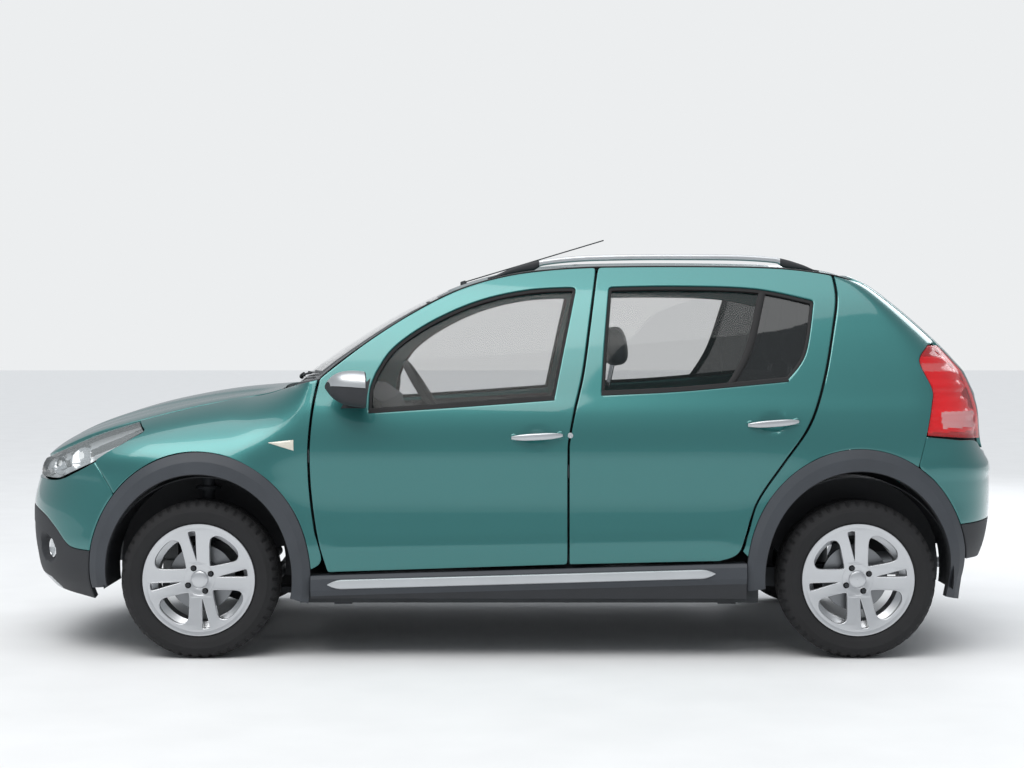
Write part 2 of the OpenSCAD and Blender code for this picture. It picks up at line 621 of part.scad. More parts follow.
lamp_low_z = 856;
module tail_lamp() {
    front = lamp_edge();
    rear = [for (i = [0:8]) gate_edge(mix(lamp_low_z, 1232, i / 8))];
    loop = outline([front[0], mix(front[0], rear[0], 0.5), rear[0]], rear,
        [front[8], mix(front[8], rear[8], 0.5), rear[8]], front, 5, 8);
    side_panel(filled(inset_loop(loop, 1.5 * panel_gap), 5, 8), lamp_t);
}
module tail_lamps() { color(red) place() both_sides() tail_lamp(); }

// Tailgate with its window

gate_low_z = 812;
gate_gap = 8;
gate_t = 45;
gate_u = 8;
gate_v = 6;
gate_rings = 4;
gate_window = [0.84, 0.46, 0.90];
// Height at which the tail surface crosses a station, at a half width
function tail_z(y, d, a = 1300, b = 1578, n = 18) =
    n == 0 ? (a + b) / 2
    : let (m = (a + b) / 2, inside = y < 20 ? tail_tip(m) > d : side_y(d, m) > y)
      inside ? tail_z(y, d, m, b, n - 1) : tail_z(y, d, a, m, n - 1);
function gate_top(c) = tail_z(abs(c) * (gate_half(1500) - gate_gap), gate_axis_d + shut_gap / 2);
// Point on the tailgate: c across, v up, with a depth behind the skin
function gate_point(p, depth = 0) = let (
        z = mix(gate_low_z, gate_top(p[0]), p[1]), y = (gate_half(z) - gate_gap) * p[0],
        a = 48 * clamp01((z - 1000) / 350))
    [tail_d(max(abs(y), 15), z) - depth * cos(a), y, z - depth * sin(a)];
function gate_loop(half, low, top) = outline(
    [[-half, low], [0, low], [half, low]], [[half, low], [half, mix(low, top, 0.5)], [half, top]],
    [[-half, top], [0, top], [half, top]], [[-half, low], [-half, mix(low, top, 0.5)], [-half, top]],
        gate_u, gate_v);
function gate_hole() = gate_loop(gate_window[0], gate_window[1], gate_window[2]);
module tailgate() {
    color(paint) place() {
        rim = gate_loop(1, 0, 1);
        back = gate_loop(0.98, 0.01, 0.982);
        hole = gate_hole();
        ring_slab(
            [for (k = [0:gate_rings]) [for (i = [0:len(rim) - 1])
                gate_point(mix(rim[i], hole[i], k / gate_rings))]],
            [for (k = [0:gate_rings]) [for (i = [0:len(rim) - 1])
                gate_point(mix(back[i], hole[i], k / gate_rings), gate_t)]]);
    }
}
module tailgate_glass() {
    color(clear) place() {
        grid = filled(inset_loop(gate_hole(), 0.0009), gate_u, gate_v);
        slab([for (row = grid) [for (p = row) gate_point(p, 12)]],
            [for (row = grid) [for (p = row) gate_point(p, 12 + glass_t)]]);
    }
}

// Cladding round the arches and along the sills

clad_in = 34;
function clad_ring(d, a) = let (
        inner = arch_point(d, a), outer = lip_point(d, a, panel_gap / 2),
        shelf = mix(inner, outer, 0.58), yi = side_y(inner[0], max(inner[1], 250)),
            ys = side_y(shelf[0], shelf[1]),
        yo = side_y(outer[0], outer[1])) [
    [inner[0], yi - clad_in, inner[1]], [inner[0], yi + cladding_out, inner[1]],
    [shelf[0], ys + cladding_out, shelf[1]], [outer[0], yo + 1, outer[1]], [outer[0], yo - 1, outer[1]]];
clad_steps = 25;
clad_start_a = -13;
module arch_cladding(d) { tube([for (i = [0:clad_steps]) clad_ring(d, clad_start_a + arch_step * i)]); }

sill_low = 240;
sill_y = half_w - 84;
sill_strip_h = 38;
function sill_z(d) = mix(sill_front[1], sill_rear[1],
    (d - sill_front[0]) / (sill_rear[0] - sill_front[0])) - 8;
function sill_section(d) =
    let (z = sill_z(d), y = side_y(d, z)) [
        [d, sill_y, z], [d, y + 2, z], [d, y + cladding_out, z - 14],
            [d, y + cladding_out, z - sill_strip_h - 20],
        [d, y - 6, sill_low], [d, sill_y, sill_low]];
module sill_cladding() { tube([for (i = [0:6]) sill_section(mix(lip_rx, r(-lip_rx), i / 6))]); }
module side_cladding() {
    color(black) place() both_sides() {
        arch_cladding(0);
        arch_cladding(wheelbase);
        sill_cladding();
    }
}

strip_front = 505;
strip_t = 8;
module sill_strips() {
    color(silver) place() both_sides() {
        rows = [for (i = [0:6]) let (d = mix(strip_front, r(-562), i / 6), y = side_y(d, sill_z(d))
            + cladding_out) [
            [d, y + seat_gap, sill_z(d) - 17], [d, y + seat_gap + strip_t, sill_z(d) - 21],
            [d, y + seat_gap + strip_t, sill_z(d) - sill_strip_h - 13],
                [d, y + seat_gap, sill_z(d) - sill_strip_h - 17]]];
        tube(rows);
    }
}

// Bars on the roof, each on two feet

rail_line = [[1130, 4], [1240, 30], [1360, 44], [1480, 48], [1900, 50], [r(-300), 46], [r(-180), 26],
    [r(-110), 4]];
rail_c = 0.93;
rail_w = 30;
function rail_foot(d) = roof_point(d, rail_c);
function rail_top(d) = gutter_z(d) + along(rail_line, d) * rail_h / 46;
rail_stations = [1130, 1180, 1240, 1300, 1340, 1400, 1500, 1700, r(-700), r(-500), r(-340), r(-270),
    r(-230), r(-170), r(-110)];
module roof_rails() {
    color(silver) place() both_sides() {
        rows = [for (d = rail_stations) let (
                foot = rail_foot(d), slope = 0.11 * rail_w, base = foot[2] + seat_gap,
                top = max(rail_top(d), base + 6), grip = d < 1330 || d > r(-260),
                low = grip ? base : top - 22) [
            [d, foot[1] - rail_w / 2, low + (grip ? slope / 2 : 0)], [d, foot[1] - rail_w / 2 + 4, top],
            [d, foot[1] + rail_w / 2 - 6, top - 3], [d, foot[1] + rail_w / 2, low - (grip ? slope / 2 : 0)]]];
        tube(rows);
    }
}

aerial_f = 0.42;
aerial_l = 640;
aerial_lean = 72;
module aerial() {
    ahead = roof_at(0, 0, 0);
    behind = roof_at(1, 0, 0);
    color(black) place() translate(mix(ahead, behind, aerial_f) + [0, 0, seat_gap])
        rotate([0, -atan2(behind[2] - ahead[2], behind[0] - ahead[0]), 0]) {
            cylinder(r1 = 18, r2 = 11, h = 20);
            translate([0, 0, 14]) rotate([0, aerial_lean + 20, 0]) cylinder(r = 2.6, h = aerial_l);
        }
}

// Floor, bulkhead and box members that carry everything else

floor_t = 20;
bulkhead_d = 392;
bulkhead_t = 18;
bulkhead_half = half_w - 174;
seat_step_d = r(-560);
boot_z = floor_z + 205;
boot_half = half_w - 344;
boot_end_d = r(470);
member_y = [half_w - 474, half_w - 414];
member_z = [420, 530];
beam_d = -590;
sill_box_y = half_w - 164;
sill_box_top = 322;
arch_clear_d = 386;
jack_d = [560, r(-508)];
jack_h = 8;
module box(a, b) { translate(a) cube(b - a); }
module platform() {
    color(steel) place() {
        box([bulkhead_d, -sill_box_y, floor_z], [seat_step_d + 18, sill_box_y, floor_z + floor_t]);
        box([bulkhead_d, -bulkhead_half, floor_z], [bulkhead_d + bulkhead_t, bulkhead_half, 1015]);
        box([bulkhead_d, -120, floor_z], [seat_step_d, 120, floor_z + 110]);
        box([seat_step_d, -sill_box_y, floor_z], [seat_step_d + 18, sill_box_y, boot_z + 18]);
        box([seat_step_d, -boot_half, boot_z], [boot_end_d, boot_half, boot_z + 18]);
        box([boot_end_d - 18, -boot_half, boot_z], [boot_end_d, boot_half, 760]);
        both_sides() {
            box([bulkhead_d, sill_box_y - 1, floor_z], [r(-arch_clear_d), sill_y - seat_gap, sill_box_top]);
            box([beam_d, member_y[0], member_z[0]], [bulkhead_d + 1, member_y[1], member_z[1]]);
            for (d = jack_d) box([d - 35, half_w - 144, floor_z - jack_h],
                [d + 35, half_w - 104, floor_z + 1]);
        }
        box([beam_d, -member_y[1], 440], [beam_d + 40, member_y[1], member_z[1]]);
    }
}

// Pillars and rails between the doors, under the roof and under the screen's edges

post_w = 110;
post_t = 45;
post_gap = 14;
screen_post_t = 42;
rail_box_t = 36;
screen_foot_d = 452;
function post_depth(z, k) = mix(door_t, frame_t, clamp01((z - 930) / 90)) + post_gap + post_t * k;
module side_frames() {
    color(paint) place() {
        both_sides() {
            post = [for (i = [0:8]) let (z = mix(sill_box_top + seat_gap, gutter_z(1560) - 70, i / 8),
                d = shut_at(middle_shut, z))
                [[d - post_w / 2, z], [d + post_w / 2, z]]];
            slab([for (row = post) [for (p = row) on_body(p, post_depth(p[1], 0))]],
                [for (row = post) [for (p = row) on_body(p, post_depth(p[1], 1))]]);
            roof_layer(concat([for (i = [0:roof_v - 1]) i], [roof_v - 0.35]), roof_u - 1, roof_u, skin_t
                + seat_gap, rail_box_t);
            screen_layer(screen_u - 1, screen_u, glass_t + 1.2, screen_post_t, 0.98);
            pillar = [for (i = [0:8]) let (z = mix(560, 1470, i / 8), d = shut_at(rear_shut, z) + 10)
                [[d - 36, z], [d + 36, z]]];
            slab([for (row = pillar) [for (p = row) on_body(p, post_depth(p[1], 0))]],
                [for (row = pillar) [for (p = row) on_body(p, post_depth(p[1], 1))]]);
            box([bulkhead_d - 4, bulkhead_half + seat_gap, sill_box_top + seat_gap],
                [428, half_w - 104, 1000]);
            box([bulkhead_d - 4, bulkhead_half + seat_gap, 999], [screen_foot_d, half_w - 130, 1036]);
            box([screen_foot_d - 12, bulkhead_half + seat_gap, 999],
                [screen_foot_d + 50, bulkhead_half + 30, 1070]);
        }
        roof_layer([roof_v - 2, roof_v - 1], -4, 4, skin_t + seat_gap, rail_box_t);
    }
}

// Pins on which the doors, the bonnet and the tailgate turn, in the gaps beside them

front_hinge_z = 800;
rear_hinge_z = 740;
pin_r = shut_gap / 2 - 0.8;
front_axis = [436, side_y(440, front_hinge_z) - 2, front_hinge_z];
rear_axis = [1450, side_y(1454, rear_hinge_z) - 0.8, rear_hinge_z];
bonnet_axis = [bonnet_rear_d + shut_gap / 2, cowl_z - 4];
gate_axis_z = gate_top(0) - 2;
module hinges() {
    color(steel) place() {
        both_sides() {
            for (a = [front_axis, rear_axis]) translate(a) cylinder(r = pin_r, h = 50, center = true);
            translate([bonnet_axis[0], half_w * 0.66, bonnet_axis[1]]) rotate([-90, 0, 0])
                cylinder(r = pin_r, h = 36);
            translate([gate_axis_d, 50, gate_axis_z]) rotate([-90, 0, 0]) cylinder(r = pin_r, h = 60);
        }
    }
}

// Liners inside the arches

liner_r = arch_rx + 26;
liner_t = 4;
liner_out = half_w - 140;
module liner(d, inboard, a0, a1) {
    translate([d, inboard + seat_gap, axle_z]) rotate([-90, 0, 0])
        rotate_extrude(angle = a1 - a0, start = -a1) translate([liner_r, 0])
            square([liner_t, liner_out - inboard]);
}
module arch_liners() {
    color(black) place() both_sides() {
        difference() {
            liner(0, member_y[1], 14, 172);
            along_kingpin(700) cylinder(r = 70, h = 200, center = true);
        }
        liner(wheelbase, boot_half, 10, 160);
    }
}

// Engine with its mounts, gearbox, drive shafts and radiator

engine_z = 330;
module engine() {
    color(steel) place() {
        box([-500, -350, engine_z], [-170, 330, 800]);
        box([-470, -300, 799], [-230, 280, 860]);
        box([-460, 329, 360], [-130, member_y[0] - seat_gap, 520]);
        for (y = [-200, 200]) box([-230, y - 40, subframe_z[1] + seat_gap], [-171, y + 40, engine_z + 1]);
        box([-231, -360, 270], [60, 360, engine_z + 1]);
        for (k = [-1, 1]) translate([0, k * 340, axle_z]) rotate([-90 * k, 0, 0]) {
            cylinder(r = 15, h = 250);
            cylinder(r1 = 50, r2 = 30, h = 70);
            translate([0, 0, 180]) cylinder(r1 = 25, r2 = 38, h = 70);
        }
        box([beam_d - 50, -320, 360], [beam_d - seat_gap, 320, 670]);
    }
}

// Dashboard with the steering column

seat_y = half_w * 0.428;
seat_w = half_w * 0.578;
column_c = [880, -seat_y, 1005];
column_r = 14;
module at_column() { translate(column_c) rotate([0, 90 - column_tilt, 0]) children(); }
module dashboard() {
    color(dark) place() {
        across(2 * bulkhead_half - 100) polygon([[bulkhead_d + bulkhead_t + seat_gap, 700],
            [bulkhead_d + bulkhead_t + seat_gap, 1040], [520, 1062],
                [630, 1052], [705, 1000], [730, 930], [715, 840], [640, 760], [560, 700]]);
        box([560, -110, floor_z + 110 + seat_gap], [690, 110, 800]);
        at_column() {
            translate([0, 0, -300]) cylinder(r = column_r - fit, h = 300);
            translate([0, 0, -300]) cylinder(r = 34, h = 240);
        }
    }
}

module steering_wheel() {
    color(dark) place() at_column() {
        rotate_extrude() translate([steering_wheel_d / 2 - 14, 0]) circle(r = 14);
        difference() {
            cylinder(r = 66, h = 40, center = true);
            translate([0, 0, -30]) cylinder(r = column_r, h = 34);
        }
        for (a = [0, 110, 250]) rotate([0, 0, a]) translate([50, -20, -9])
            cube([steering_wheel_d / 2 - 70, 40, 18]);
    }
}

// Seats: two in front and a bench behind

seat_side = [
    [0, 470], [10, 540], [60, 572], [180, 580], [400, 552], [450, 600], [520, 860], [565, 1060],
    [590, 1092], [622, 1090], [640, 1050], [618, 900], [560, 640], [500, 470], [440, 430], [40, 425]];
seat_d = 1040;
bench_lift = 25;
module across(w) { rotate([90, 0, 0]) linear_extrude(w, center = true) children(); }
module seat() {
    across(seat_w) translate([seat_d, 0]) polygon(seat_side);
    box([1100, -200, floor_z + floor_t + seat_gap], [1460, 200, 440]);
    translate([1648, 0, 1150]) rotate([0, 10, 0]) {
        translate([-45, -125, 0]) cube([85, 250, 165]);
        for (y = [-60, 60]) translate([-8, y, -120]) cylinder(r = 7, h = 130);
    }
}
bench_d = r(-800);
bench_w = 2 * boot_half - 20;
module seats() {
    color(fabric) place() {
        for (y = [-seat_y, seat_y]) translate([0, y, 0]) seat();
        across(bench_w) translate([bench_d, bench_lift]) polygon(seat_side);
        for (k = [-1, 1]) box([bench_d + 40, k * bench_w * 0.3 - 150, floor_z + floor_t + seat_gap],
            [seat_step_d - seat_gap, k * bench_w * 0.3 + 150, 470]);
        for (y = [-0.3, 0.3] * bench_w) translate([bench_d + 612, y, 1120 + bench_lift]) rotate([0, 8, 0]) {
            translate([-40, -120, 0]) cube([75, 240, 150]);
            translate([-8, -40, -60]) cube([16, 80, 80]);
        }
    }
}

// Running gear

subframe_z = [190, 240];
arm_z = 205;
kingpin_low = [0, 690, 205];
kingpin_top = [0, 575, 900];
module along_kingpin(z) {
    v = kingpin_top - kingpin_low;
    translate(kingpin_low + v * (z - kingpin_low[2]) / v[2]) rotate([atan2(-v[1], v[2]), 0, 0]) children();
}
ball_r = 10;
fit = 0.05;

module front_subframe() {
    color(steel) place() {
        box([-240, -330, subframe_z[0]], [200, 330, subframe_z[1]]);
        both_sides() {
            box([199, 240, subframe_z[0]], [bulkhead_d + 120, 330, floor_z - seat_gap]);
            difference() {
                union() {
                    hull() {
                        translate([30, 320, arm_z]) cylinder(r = 60, h = 18, $fn = 16);
                        translate([0, 655, arm_z]) cylinder(r = 24, h = 18, $fn = 16);
                    }
                    along_kingpin(arm_z + 9) cylinder(r = 26, h = 26, center = true);
                }
                along_kingpin(arm_z + 9) cylinder(r = ball_r + fit, h = 90, center = true);
            }
        }
        translate([150, 0, 285]) rotate([90, 0, 0]) cylinder(r = 24, h = 760, center = true);
        for (k = [-1, 1]) box([130, k * 200 - 30, subframe_z[1] - 1], [170, k * 200 + 30, 280]);
    }
}

hub_face = 46;
strut_y = 586;
module knuckle(side) {
    color(steel) place() on_side(side) {
        translate([0, half_track + hub_face, axle_z]) rotate([90, 0, 0])
            cylinder(r = spindle_r - fit, h = hub_face + 75);
        translate([0, half_track - 50, axle_z]) rotate([90, 0, 0]) cylinder(r = 58, h = 30);
        translate([0, half_track - 66, axle_z]) rotate([90, 0, 0]) cylinder(r = 34, h = 68);
        along_kingpin(arm_z + 9) translate([0, 0, -22]) cylinder(r = ball_r, h = 62);
        box([-24, 650, 255], [24, 684, axle_z + 20]);
        box([-24, 604, axle_z + 10], [24, 684, axle_z + 50]);
        box([-24, 590, axle_z + 40], [24, 632, 470]);
        translate([0, strut_y, 430]) cylinder(r = 26, h = 290);
        translate([0, strut_y, 700]) cylinder(r = 12, h = 180);
        translate([0, strut_y, 650]) cylinder(r = 50, h = 12);
        box([-130, half_track - 76, axle_z - 45], [-55, half_track - 30, axle_z + 45]);
        box([-60, half_track - 76, axle_z - 30], [0, half_track - 51, axle_z + 30]);
    }
}

axle_arm_y = 575;
module rear_axle() {
    color(steel) place() {
        translate([r(-230), 0, 300]) rotate([90, 0, 0]) cylinder(r = 45, h = 2 * axle_arm_y, center = true);
        both_sides() {
            hull() {
                translate([r(-430), axle_arm_y, 290]) rotate([90, 0, 0])
                    cylinder(r = 36, h = 60, center = true, $fn = 16);
                translate([r(0), axle_arm_y + 10, axle_z]) rotate([90, 0, 0])
                    cylinder(r = 44, h = 60, center = true, $fn = 16);
            }
            translate([r(0), half_track + hub_face, axle_z]) rotate([90, 0, 0])
                cylinder(r = spindle_r - fit, h = half_track + hub_face - axle_arm_y);
            translate([r(0), half_track - 60, axle_z]) rotate([90, 0, 0]) cylinder(r = 60, h = 60);
            translate([r(-110), boot_half - 70, 300]) cylinder(r = 52, h = boot_z - 300 - seat_gap);
            box([r(-160), boot_half - 120, 285], [r(-60), axle_arm_y, 315]);
        }
    }
}

exhaust_y = 190;
exhaust_z = 178;
module exhaust() {
    color(steel) place() {
        translate([480, exhaust_y, exhaust_z]) rotate([0, 90, 0]) cylinder(r = 24, h = r(100) - 480);
        translate([1000, exhaust_y, exhaust_z]) rotate([0, 90, 0]) cylinder(r = 34, h = 500);
        translate([r(90), exhaust_y, exhaust_z]) rotate([0, 60, 0]) cylinder(r = 24, h = 150);
        translate([r(190), exhaust_y - 40, 275]) rotate([0, 90, 0]) cylinder(r = 72, h = 290);
        translate([r(470), exhaust_y, 255]) rotate([0, 90, 0]) cylinder(r = 24, h = 110);
        box([1200, exhaust_y - 8, exhaust_z], [1216, exhaust_y + 8, floor_z - seat_gap]);
        box([r(300), exhaust_y - 8, 280], [r(316), exhaust_y + 8, boot_z - seat_gap]);
    }
}

module fuel_tank() {
    color(black) place()
        box([seat_step_d + 18 + seat_gap, -470, floor_z + 8], [r(-330), 420, boot_z - seat_gap]);
}

// Wheel with four pairs of spokes, turned about the spindle

pad_z = 8;
bore_end = 50;
disc_r = 130;
module spoke_windows() {
    for (a = [0:90:270]) rotate(a) {
        translate([64, -8]) square([112, 16]);
        rotate(45) polygon([[66, 0], [140, -84], [172, -52], [182, 0], [172, 52], [140, 84]]);
    }
}
module wheel_shape() {
    rr = rim_d / 2;
    rotate_extrude() polygon([
        [rr + 18, 88], [rr + 18, 81], [rr + 4, 76], [rr, 45], [rr - 24, 30], [rr - 24, -30], [rr, -52],
            [rr + 4, -76],
        [rr + 18, -81], [rr + 18, -88], [rr + 8, -88], [rr - 6, -72], [rr - 8, -52], [rr - 32, -34],
            [rr - 32, 34],
        [rr - 8, 50], [rr - 5, 76], [rr + 8, 88]]);
    difference() {
        rotate_extrude() polygon([
            [0, pad_z], [0, 60], [34, 60], [40, 66], [120, 76], [rr - 4, 84], [rr - 4, 62], [120, 50],
                [78, 30], [72, pad_z]]);
        translate([0, 0, 24]) linear_extrude(90) rotate(10) spoke_windows();
        translate([0, 0, pad_z - 1]) cylinder(r = spindle_r, h = bore_end + 1 - pad_z);
        for (a = [0:90:270]) rotate(a + 10) translate([bolt_circle_d / 2, 0, 50]) cylinder(r = 9, h = 40);
    }
    rotate_extrude() polygon([[spindle_r + 6, -6], [disc_r, -6], [disc_r, 9], [spindle_r + 6, 9]]);
}
module tyre_shape() {
    rr = rim_d / 2;
    ro = tyre_d / 2;
    w = tyre_w / 2;
    rotate_extrude() polygon([
        [rr + 4.6, 75.5], [rr + 18.4, 80.6], [rr + 34, w - 6], [rr + 60, w], [ro - 34, w - 3],
            [ro - 14, w - 14], [ro - 4, w - 26],
        [ro, w - 48], [ro, -w + 48], [ro - 4, -w + 26], [ro - 14, -w + 14], [ro - 34, -w + 3], [rr + 60, -w],
        [rr + 34, -w + 6], [rr + 18.4, -80.6], [rr + 4.6, -75.5], [rr + 0.5, -52], [rr + 0.5, 45]]);
}
module at_wheel(side, d) {
    place() on_side(side) translate([d, half_track, axle_z]) rotate([-90, 0, 0]) children();
}
module wheel(side, d) { color(silver) at_wheel(side, d) wheel_shape(); }
module tyre(side, d) { color(black) at_wheel(side, d) tyre_shape(); }

platform();
side_frames();
front_wings();
rear_quarters();
roof();
bumpers();
bumper_skirts();
grille();
headlamps();
tail_lamps();
side_cladding();
sill_strips();
windscreen();
roof_rails();
aerial();
cowl();
engine();
front_subframe();
rear_axle();
exhaust();
fuel_tank();
arch_liners();
dashboard();
seats();
hinges();
bonnet();
tailgate();
tailgate_glass();
steering_wheel();
door(LEFT, front_door_loop(), front_window);  // door_front_left
door(RIGHT, front_door_loop(), front_window);  // door_front_right
door(LEFT, rear_door_loop(), rear_window);  // door_rear_left
door(RIGHT, rear_door_loop(), rear_window);  // door_rear_right
glass(LEFT, front_window);  // glass_front_left
glass(RIGHT, front_window);  // glass_front_right
glass(LEFT, rear_window);  // glass_rear_left
glass(RIGHT, rear_window);  // glass_rear_right
fittings_front(LEFT);  // fittings_front_left
fittings_front(RIGHT);  // fittings_front_right
fittings_rear(LEFT);  // fittings_rear_left
fittings_rear(RIGHT);  // fittings_rear_right
knuckle(LEFT);  // knuckle_left
knuckle(RIGHT);  // knuckle_right
wheel(LEFT, 0);  // wheel_front_left
wheel(RIGHT, 0);  // wheel_front_right
wheel(LEFT, wheelbase);  // wheel_rear_left
wheel(RIGHT, wheelbase);  // wheel_rear_right
tyre(LEFT, 0);  // tyre_front_left
tyre(RIGHT, 0);  // tyre_front_right
tyre(LEFT, wheelbase);  // tyre_rear_left
tyre(RIGHT, wheelbase);  // tyre_rear_right
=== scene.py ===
"""Looks of the hatchback: panels on the solids' outer surface, glass, lamps, wheels and cabin."""

import math

import bpy
import numpy as np
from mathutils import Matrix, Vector


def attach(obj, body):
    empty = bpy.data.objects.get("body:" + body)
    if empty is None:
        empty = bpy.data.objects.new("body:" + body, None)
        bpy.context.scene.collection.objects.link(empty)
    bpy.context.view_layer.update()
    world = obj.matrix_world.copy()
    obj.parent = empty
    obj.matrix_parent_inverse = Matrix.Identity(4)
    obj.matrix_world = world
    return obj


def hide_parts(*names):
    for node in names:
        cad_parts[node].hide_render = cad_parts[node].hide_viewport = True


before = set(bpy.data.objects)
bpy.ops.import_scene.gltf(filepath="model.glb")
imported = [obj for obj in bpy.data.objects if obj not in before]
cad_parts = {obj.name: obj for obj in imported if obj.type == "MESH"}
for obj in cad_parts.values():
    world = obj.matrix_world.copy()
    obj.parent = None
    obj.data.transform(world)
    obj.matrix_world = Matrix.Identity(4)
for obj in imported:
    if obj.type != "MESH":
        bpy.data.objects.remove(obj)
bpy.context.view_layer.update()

# Sizes in millimetres; stations are measured behind the front axle, as in the part's source.
WHEELBASE, FRONT, REAR = 2588, 800, 636
SHIFT = -1212
HALF_W, ROOF_H = 864, 1579
AXLE_Z, HALF_TRACK = 310.5, 740
SHUT = 8
GLASS_T, GLASS_DEPTH = 5, 16
PANEL_EDGE, PANEL_RIM, EDGE_STEP = 2.6, 16, 0.22
LIP_W, LIP_H, ARCH_W, ARCH_H, ARCH_Z, REAR_RAISE = 442, 486, 368, 398, 328.5, 12
FOG_Y, FOG_Z = 600, 415
# Half width in the middle of nose and tail that counts as flat.
MIDDLE = 20
SHOULDER, NOSE_L, NOSE_N, TAIL_N, CROWN_N, BOW = 700, 750, 2.6, 3, 2.7, 0.03
SIDES = {"left": -1, "right": 1}


def r(d):
    return WHEELBASE + d


def mix(a, b, t):
    return a + (b - a) * t


def rows_between(a, b, n):
    """Rows in equal steps from a to b."""
    a, b = np.asarray(a, float), np.asarray(b, float)
    return np.stack([mix(a, b, x) for x in np.linspace(0, 1, n)])


def clamp01(t):
    return np.clip(t, 0, 1)


def smooth01(t):
    t = clamp01(t)
    return t * t * (3 - 2 * t)


def hermite(a, b, ma, mb, t):
    return (a * (2 * t**3 - 3 * t * t + 1) + ma * (t**3 - 2 * t * t + t)
            + b * (3 * t * t - 2 * t**3) + mb * (t**3 - t * t))


def full_turn(n):
    return np.linspace(0, 2 * np.pi, n, endpoint=False)


def points(*parts):
    """Points from their coordinates, each an array or one number."""
    return np.stack(np.broadcast_arrays(*parts), -1)


def squared(x, power):
    """Sine or cosine bent towards a square outline."""
    return np.sign(x) * np.abs(x) ** power


def along(graph, x):
    """Smooth curve through the points of a graph, read at x."""
    g = np.asarray(graph, float)
    k, v = g[:, 0], g[:, 1]
    s = np.empty(len(k))
    s[1:-1] = (v[2:] - v[:-2]) / (k[2:] - k[:-2])
    s[0] = (v[1] - v[0]) / (k[1] - k[0])
    s[-1] = (v[-1] - v[-2]) / (k[-1] - k[-2])
    x = np.asarray(x, float)
    i = np.clip(np.searchsorted(k, x, side="right") - 1, 0, len(k) - 2)
    h = k[i + 1] - k[i]
    return hermite(v[i], v[i + 1], s[i] * h, s[i + 1] * h, clamp01((x - k[i]) / h))


def spline(points, t):
    p = np.asarray(points, float)
    n = len(p) - 1
    t = np.asarray(t, float) * n
    i = np.clip(np.floor(t).astype(int), 0, n - 1)
    s = (t - i)[:, None]
    before, after = p[np.maximum(i - 1, 0)], p[np.minimum(i + 2, n)]
    return hermite(p[i], p[i + 1], (p[i + 1] - before) / 2, (after - p[i]) / 2, s)


# The outer surface
SECTION = [[180, 76], [300, 26], [380, 13], [440, 5], [500, 9], [610, 15], [720, 7], [800, 0], [880, 6],
           [960, 26], [1040, 56], [1170, 106], [1300, 160], [1430, 220], [1560, 296]]
NOSE = [[180, 130], [250, 70], [300, 30], [420, 6], [520, 0], [600, 4], [700, 30]]
TAIL = [[300, 80], [400, 34], [500, 9], [600, 0], [740, 8], [840, 44], [986, 60], [1115, 107], [1172, 154],
        [1225, 204], [1318, 306], [1400, 404], [1476, 504], [1504, 560], [1528, 618], [1580, 770]]
TAIL_ROUND = [[300, 520], [700, 500], [900, 430], [1150, 330], [1400, 200], [1580, 150]]
BONNET_LINE = [[-770, 700], [-735, 765], [-690, 812], [-640, 846], [-538, 897], [-433, 936], [-276, 984],
               [-119, 1019], [39, 1045], [196, 1060], [330, 1068]]
ROOF_DROP = [[930, 122], [1044, 79], [1176, 44], [1350, 13], [1613, 0], [r(-538), 0], [r(-188), 13],
             [r(-35), 31], [r(32), 57], [r(90), 80]]
GUTTER = [[470, 1103], [550, 1170], [704, 1281], [860, 1379], [979, 1441], [1100, 1486], [1261, 1523],
          [1423, 1541], [1573, 1549], [r(-588), 1551], [r(-271), 1543], [r(-64), 1517], [r(20), 1494],
          [r(90), 1470]]


def turn_in(t, n):
    return np.maximum(0, 1 - np.maximum(0, t) ** n) ** (1 / n)


def nose_tip(z):
    return -FRONT + along(NOSE, z)


def tail_tip(z):
    return r(REAR) - along(TAIL, z)


def wall(d, z):
    d, z = np.asarray(d, float), np.asarray(z, float)
    nose = turn_in((nose_tip(np.minimum(z, SHOULDER)) + NOSE_L - d) / NOSE_L, NOSE_N)
    l = along(TAIL_ROUND, z)
    tail = turn_in((d - tail_tip(z) + l) / l, TAIL_N)
    bowed = 1 - BOW * ((d - WHEELBASE / 2) / WHEELBASE) ** 2
    return (HALF_W - along(SECTION, z)) * bowed * nose * tail


def side_y(d, z):
    d, z = np.broadcast_arrays(np.asarray(d, float), np.asarray(z, float))
    plain = wall(d, z)
    top = np.maximum(1, along(BONNET_LINE, d) - SHOULDER)
    rolled = wall(d, np.full_like(d, SHOULDER)) * turn_in((z - SHOULDER) / top, CROWN_N)
    return np.where((z <= SHOULDER) | (d > 440), plain, mix(rolled, plain, smooth01((d - 120) / 320)))


def roof_z(d):
    return ROOF_H - along(ROOF_DROP, d)


def gutter_z(d):
    return along(GUTTER, d)


def halve(inside, a, b):
    a, b = np.broadcast_arrays(np.asarray(a, float), np.asarray(b, float))
    a, b = a.copy(), b.copy()
    for _ in range(22):
        m = (a + b) / 2
        k = inside(m)
        a, b = np.where(k, m, a), np.where(k, b, m)
    return (a + b) / 2


def tail_d(y, z):
    tip = tail_tip(z)
    return halve(lambda m: side_y(m, z) > y, tip - along(TAIL_ROUND, z), tip)


def nose_d(y, z):
    return halve(lambda m: side_y(m, z) < y, np.full_like(np.asarray(y + z, float), -FRONT), -200)


def nose_across(y, z):
    """Front face from one side to the other; its middle is taken as flat."""
    return nose_d(np.maximum(np.abs(y), MIDDLE), z)


def body_normal(d, z):
    v = points((side_y(d - 4, z) - side_y(d + 4, z)) / 8, np.ones_like(np.asarray(d, float)),
               (side_y(d, z - 4) - side_y(d, z + 4)) / 8)
    return v / np.linalg.norm(v, axis=-1, keepdims=True)


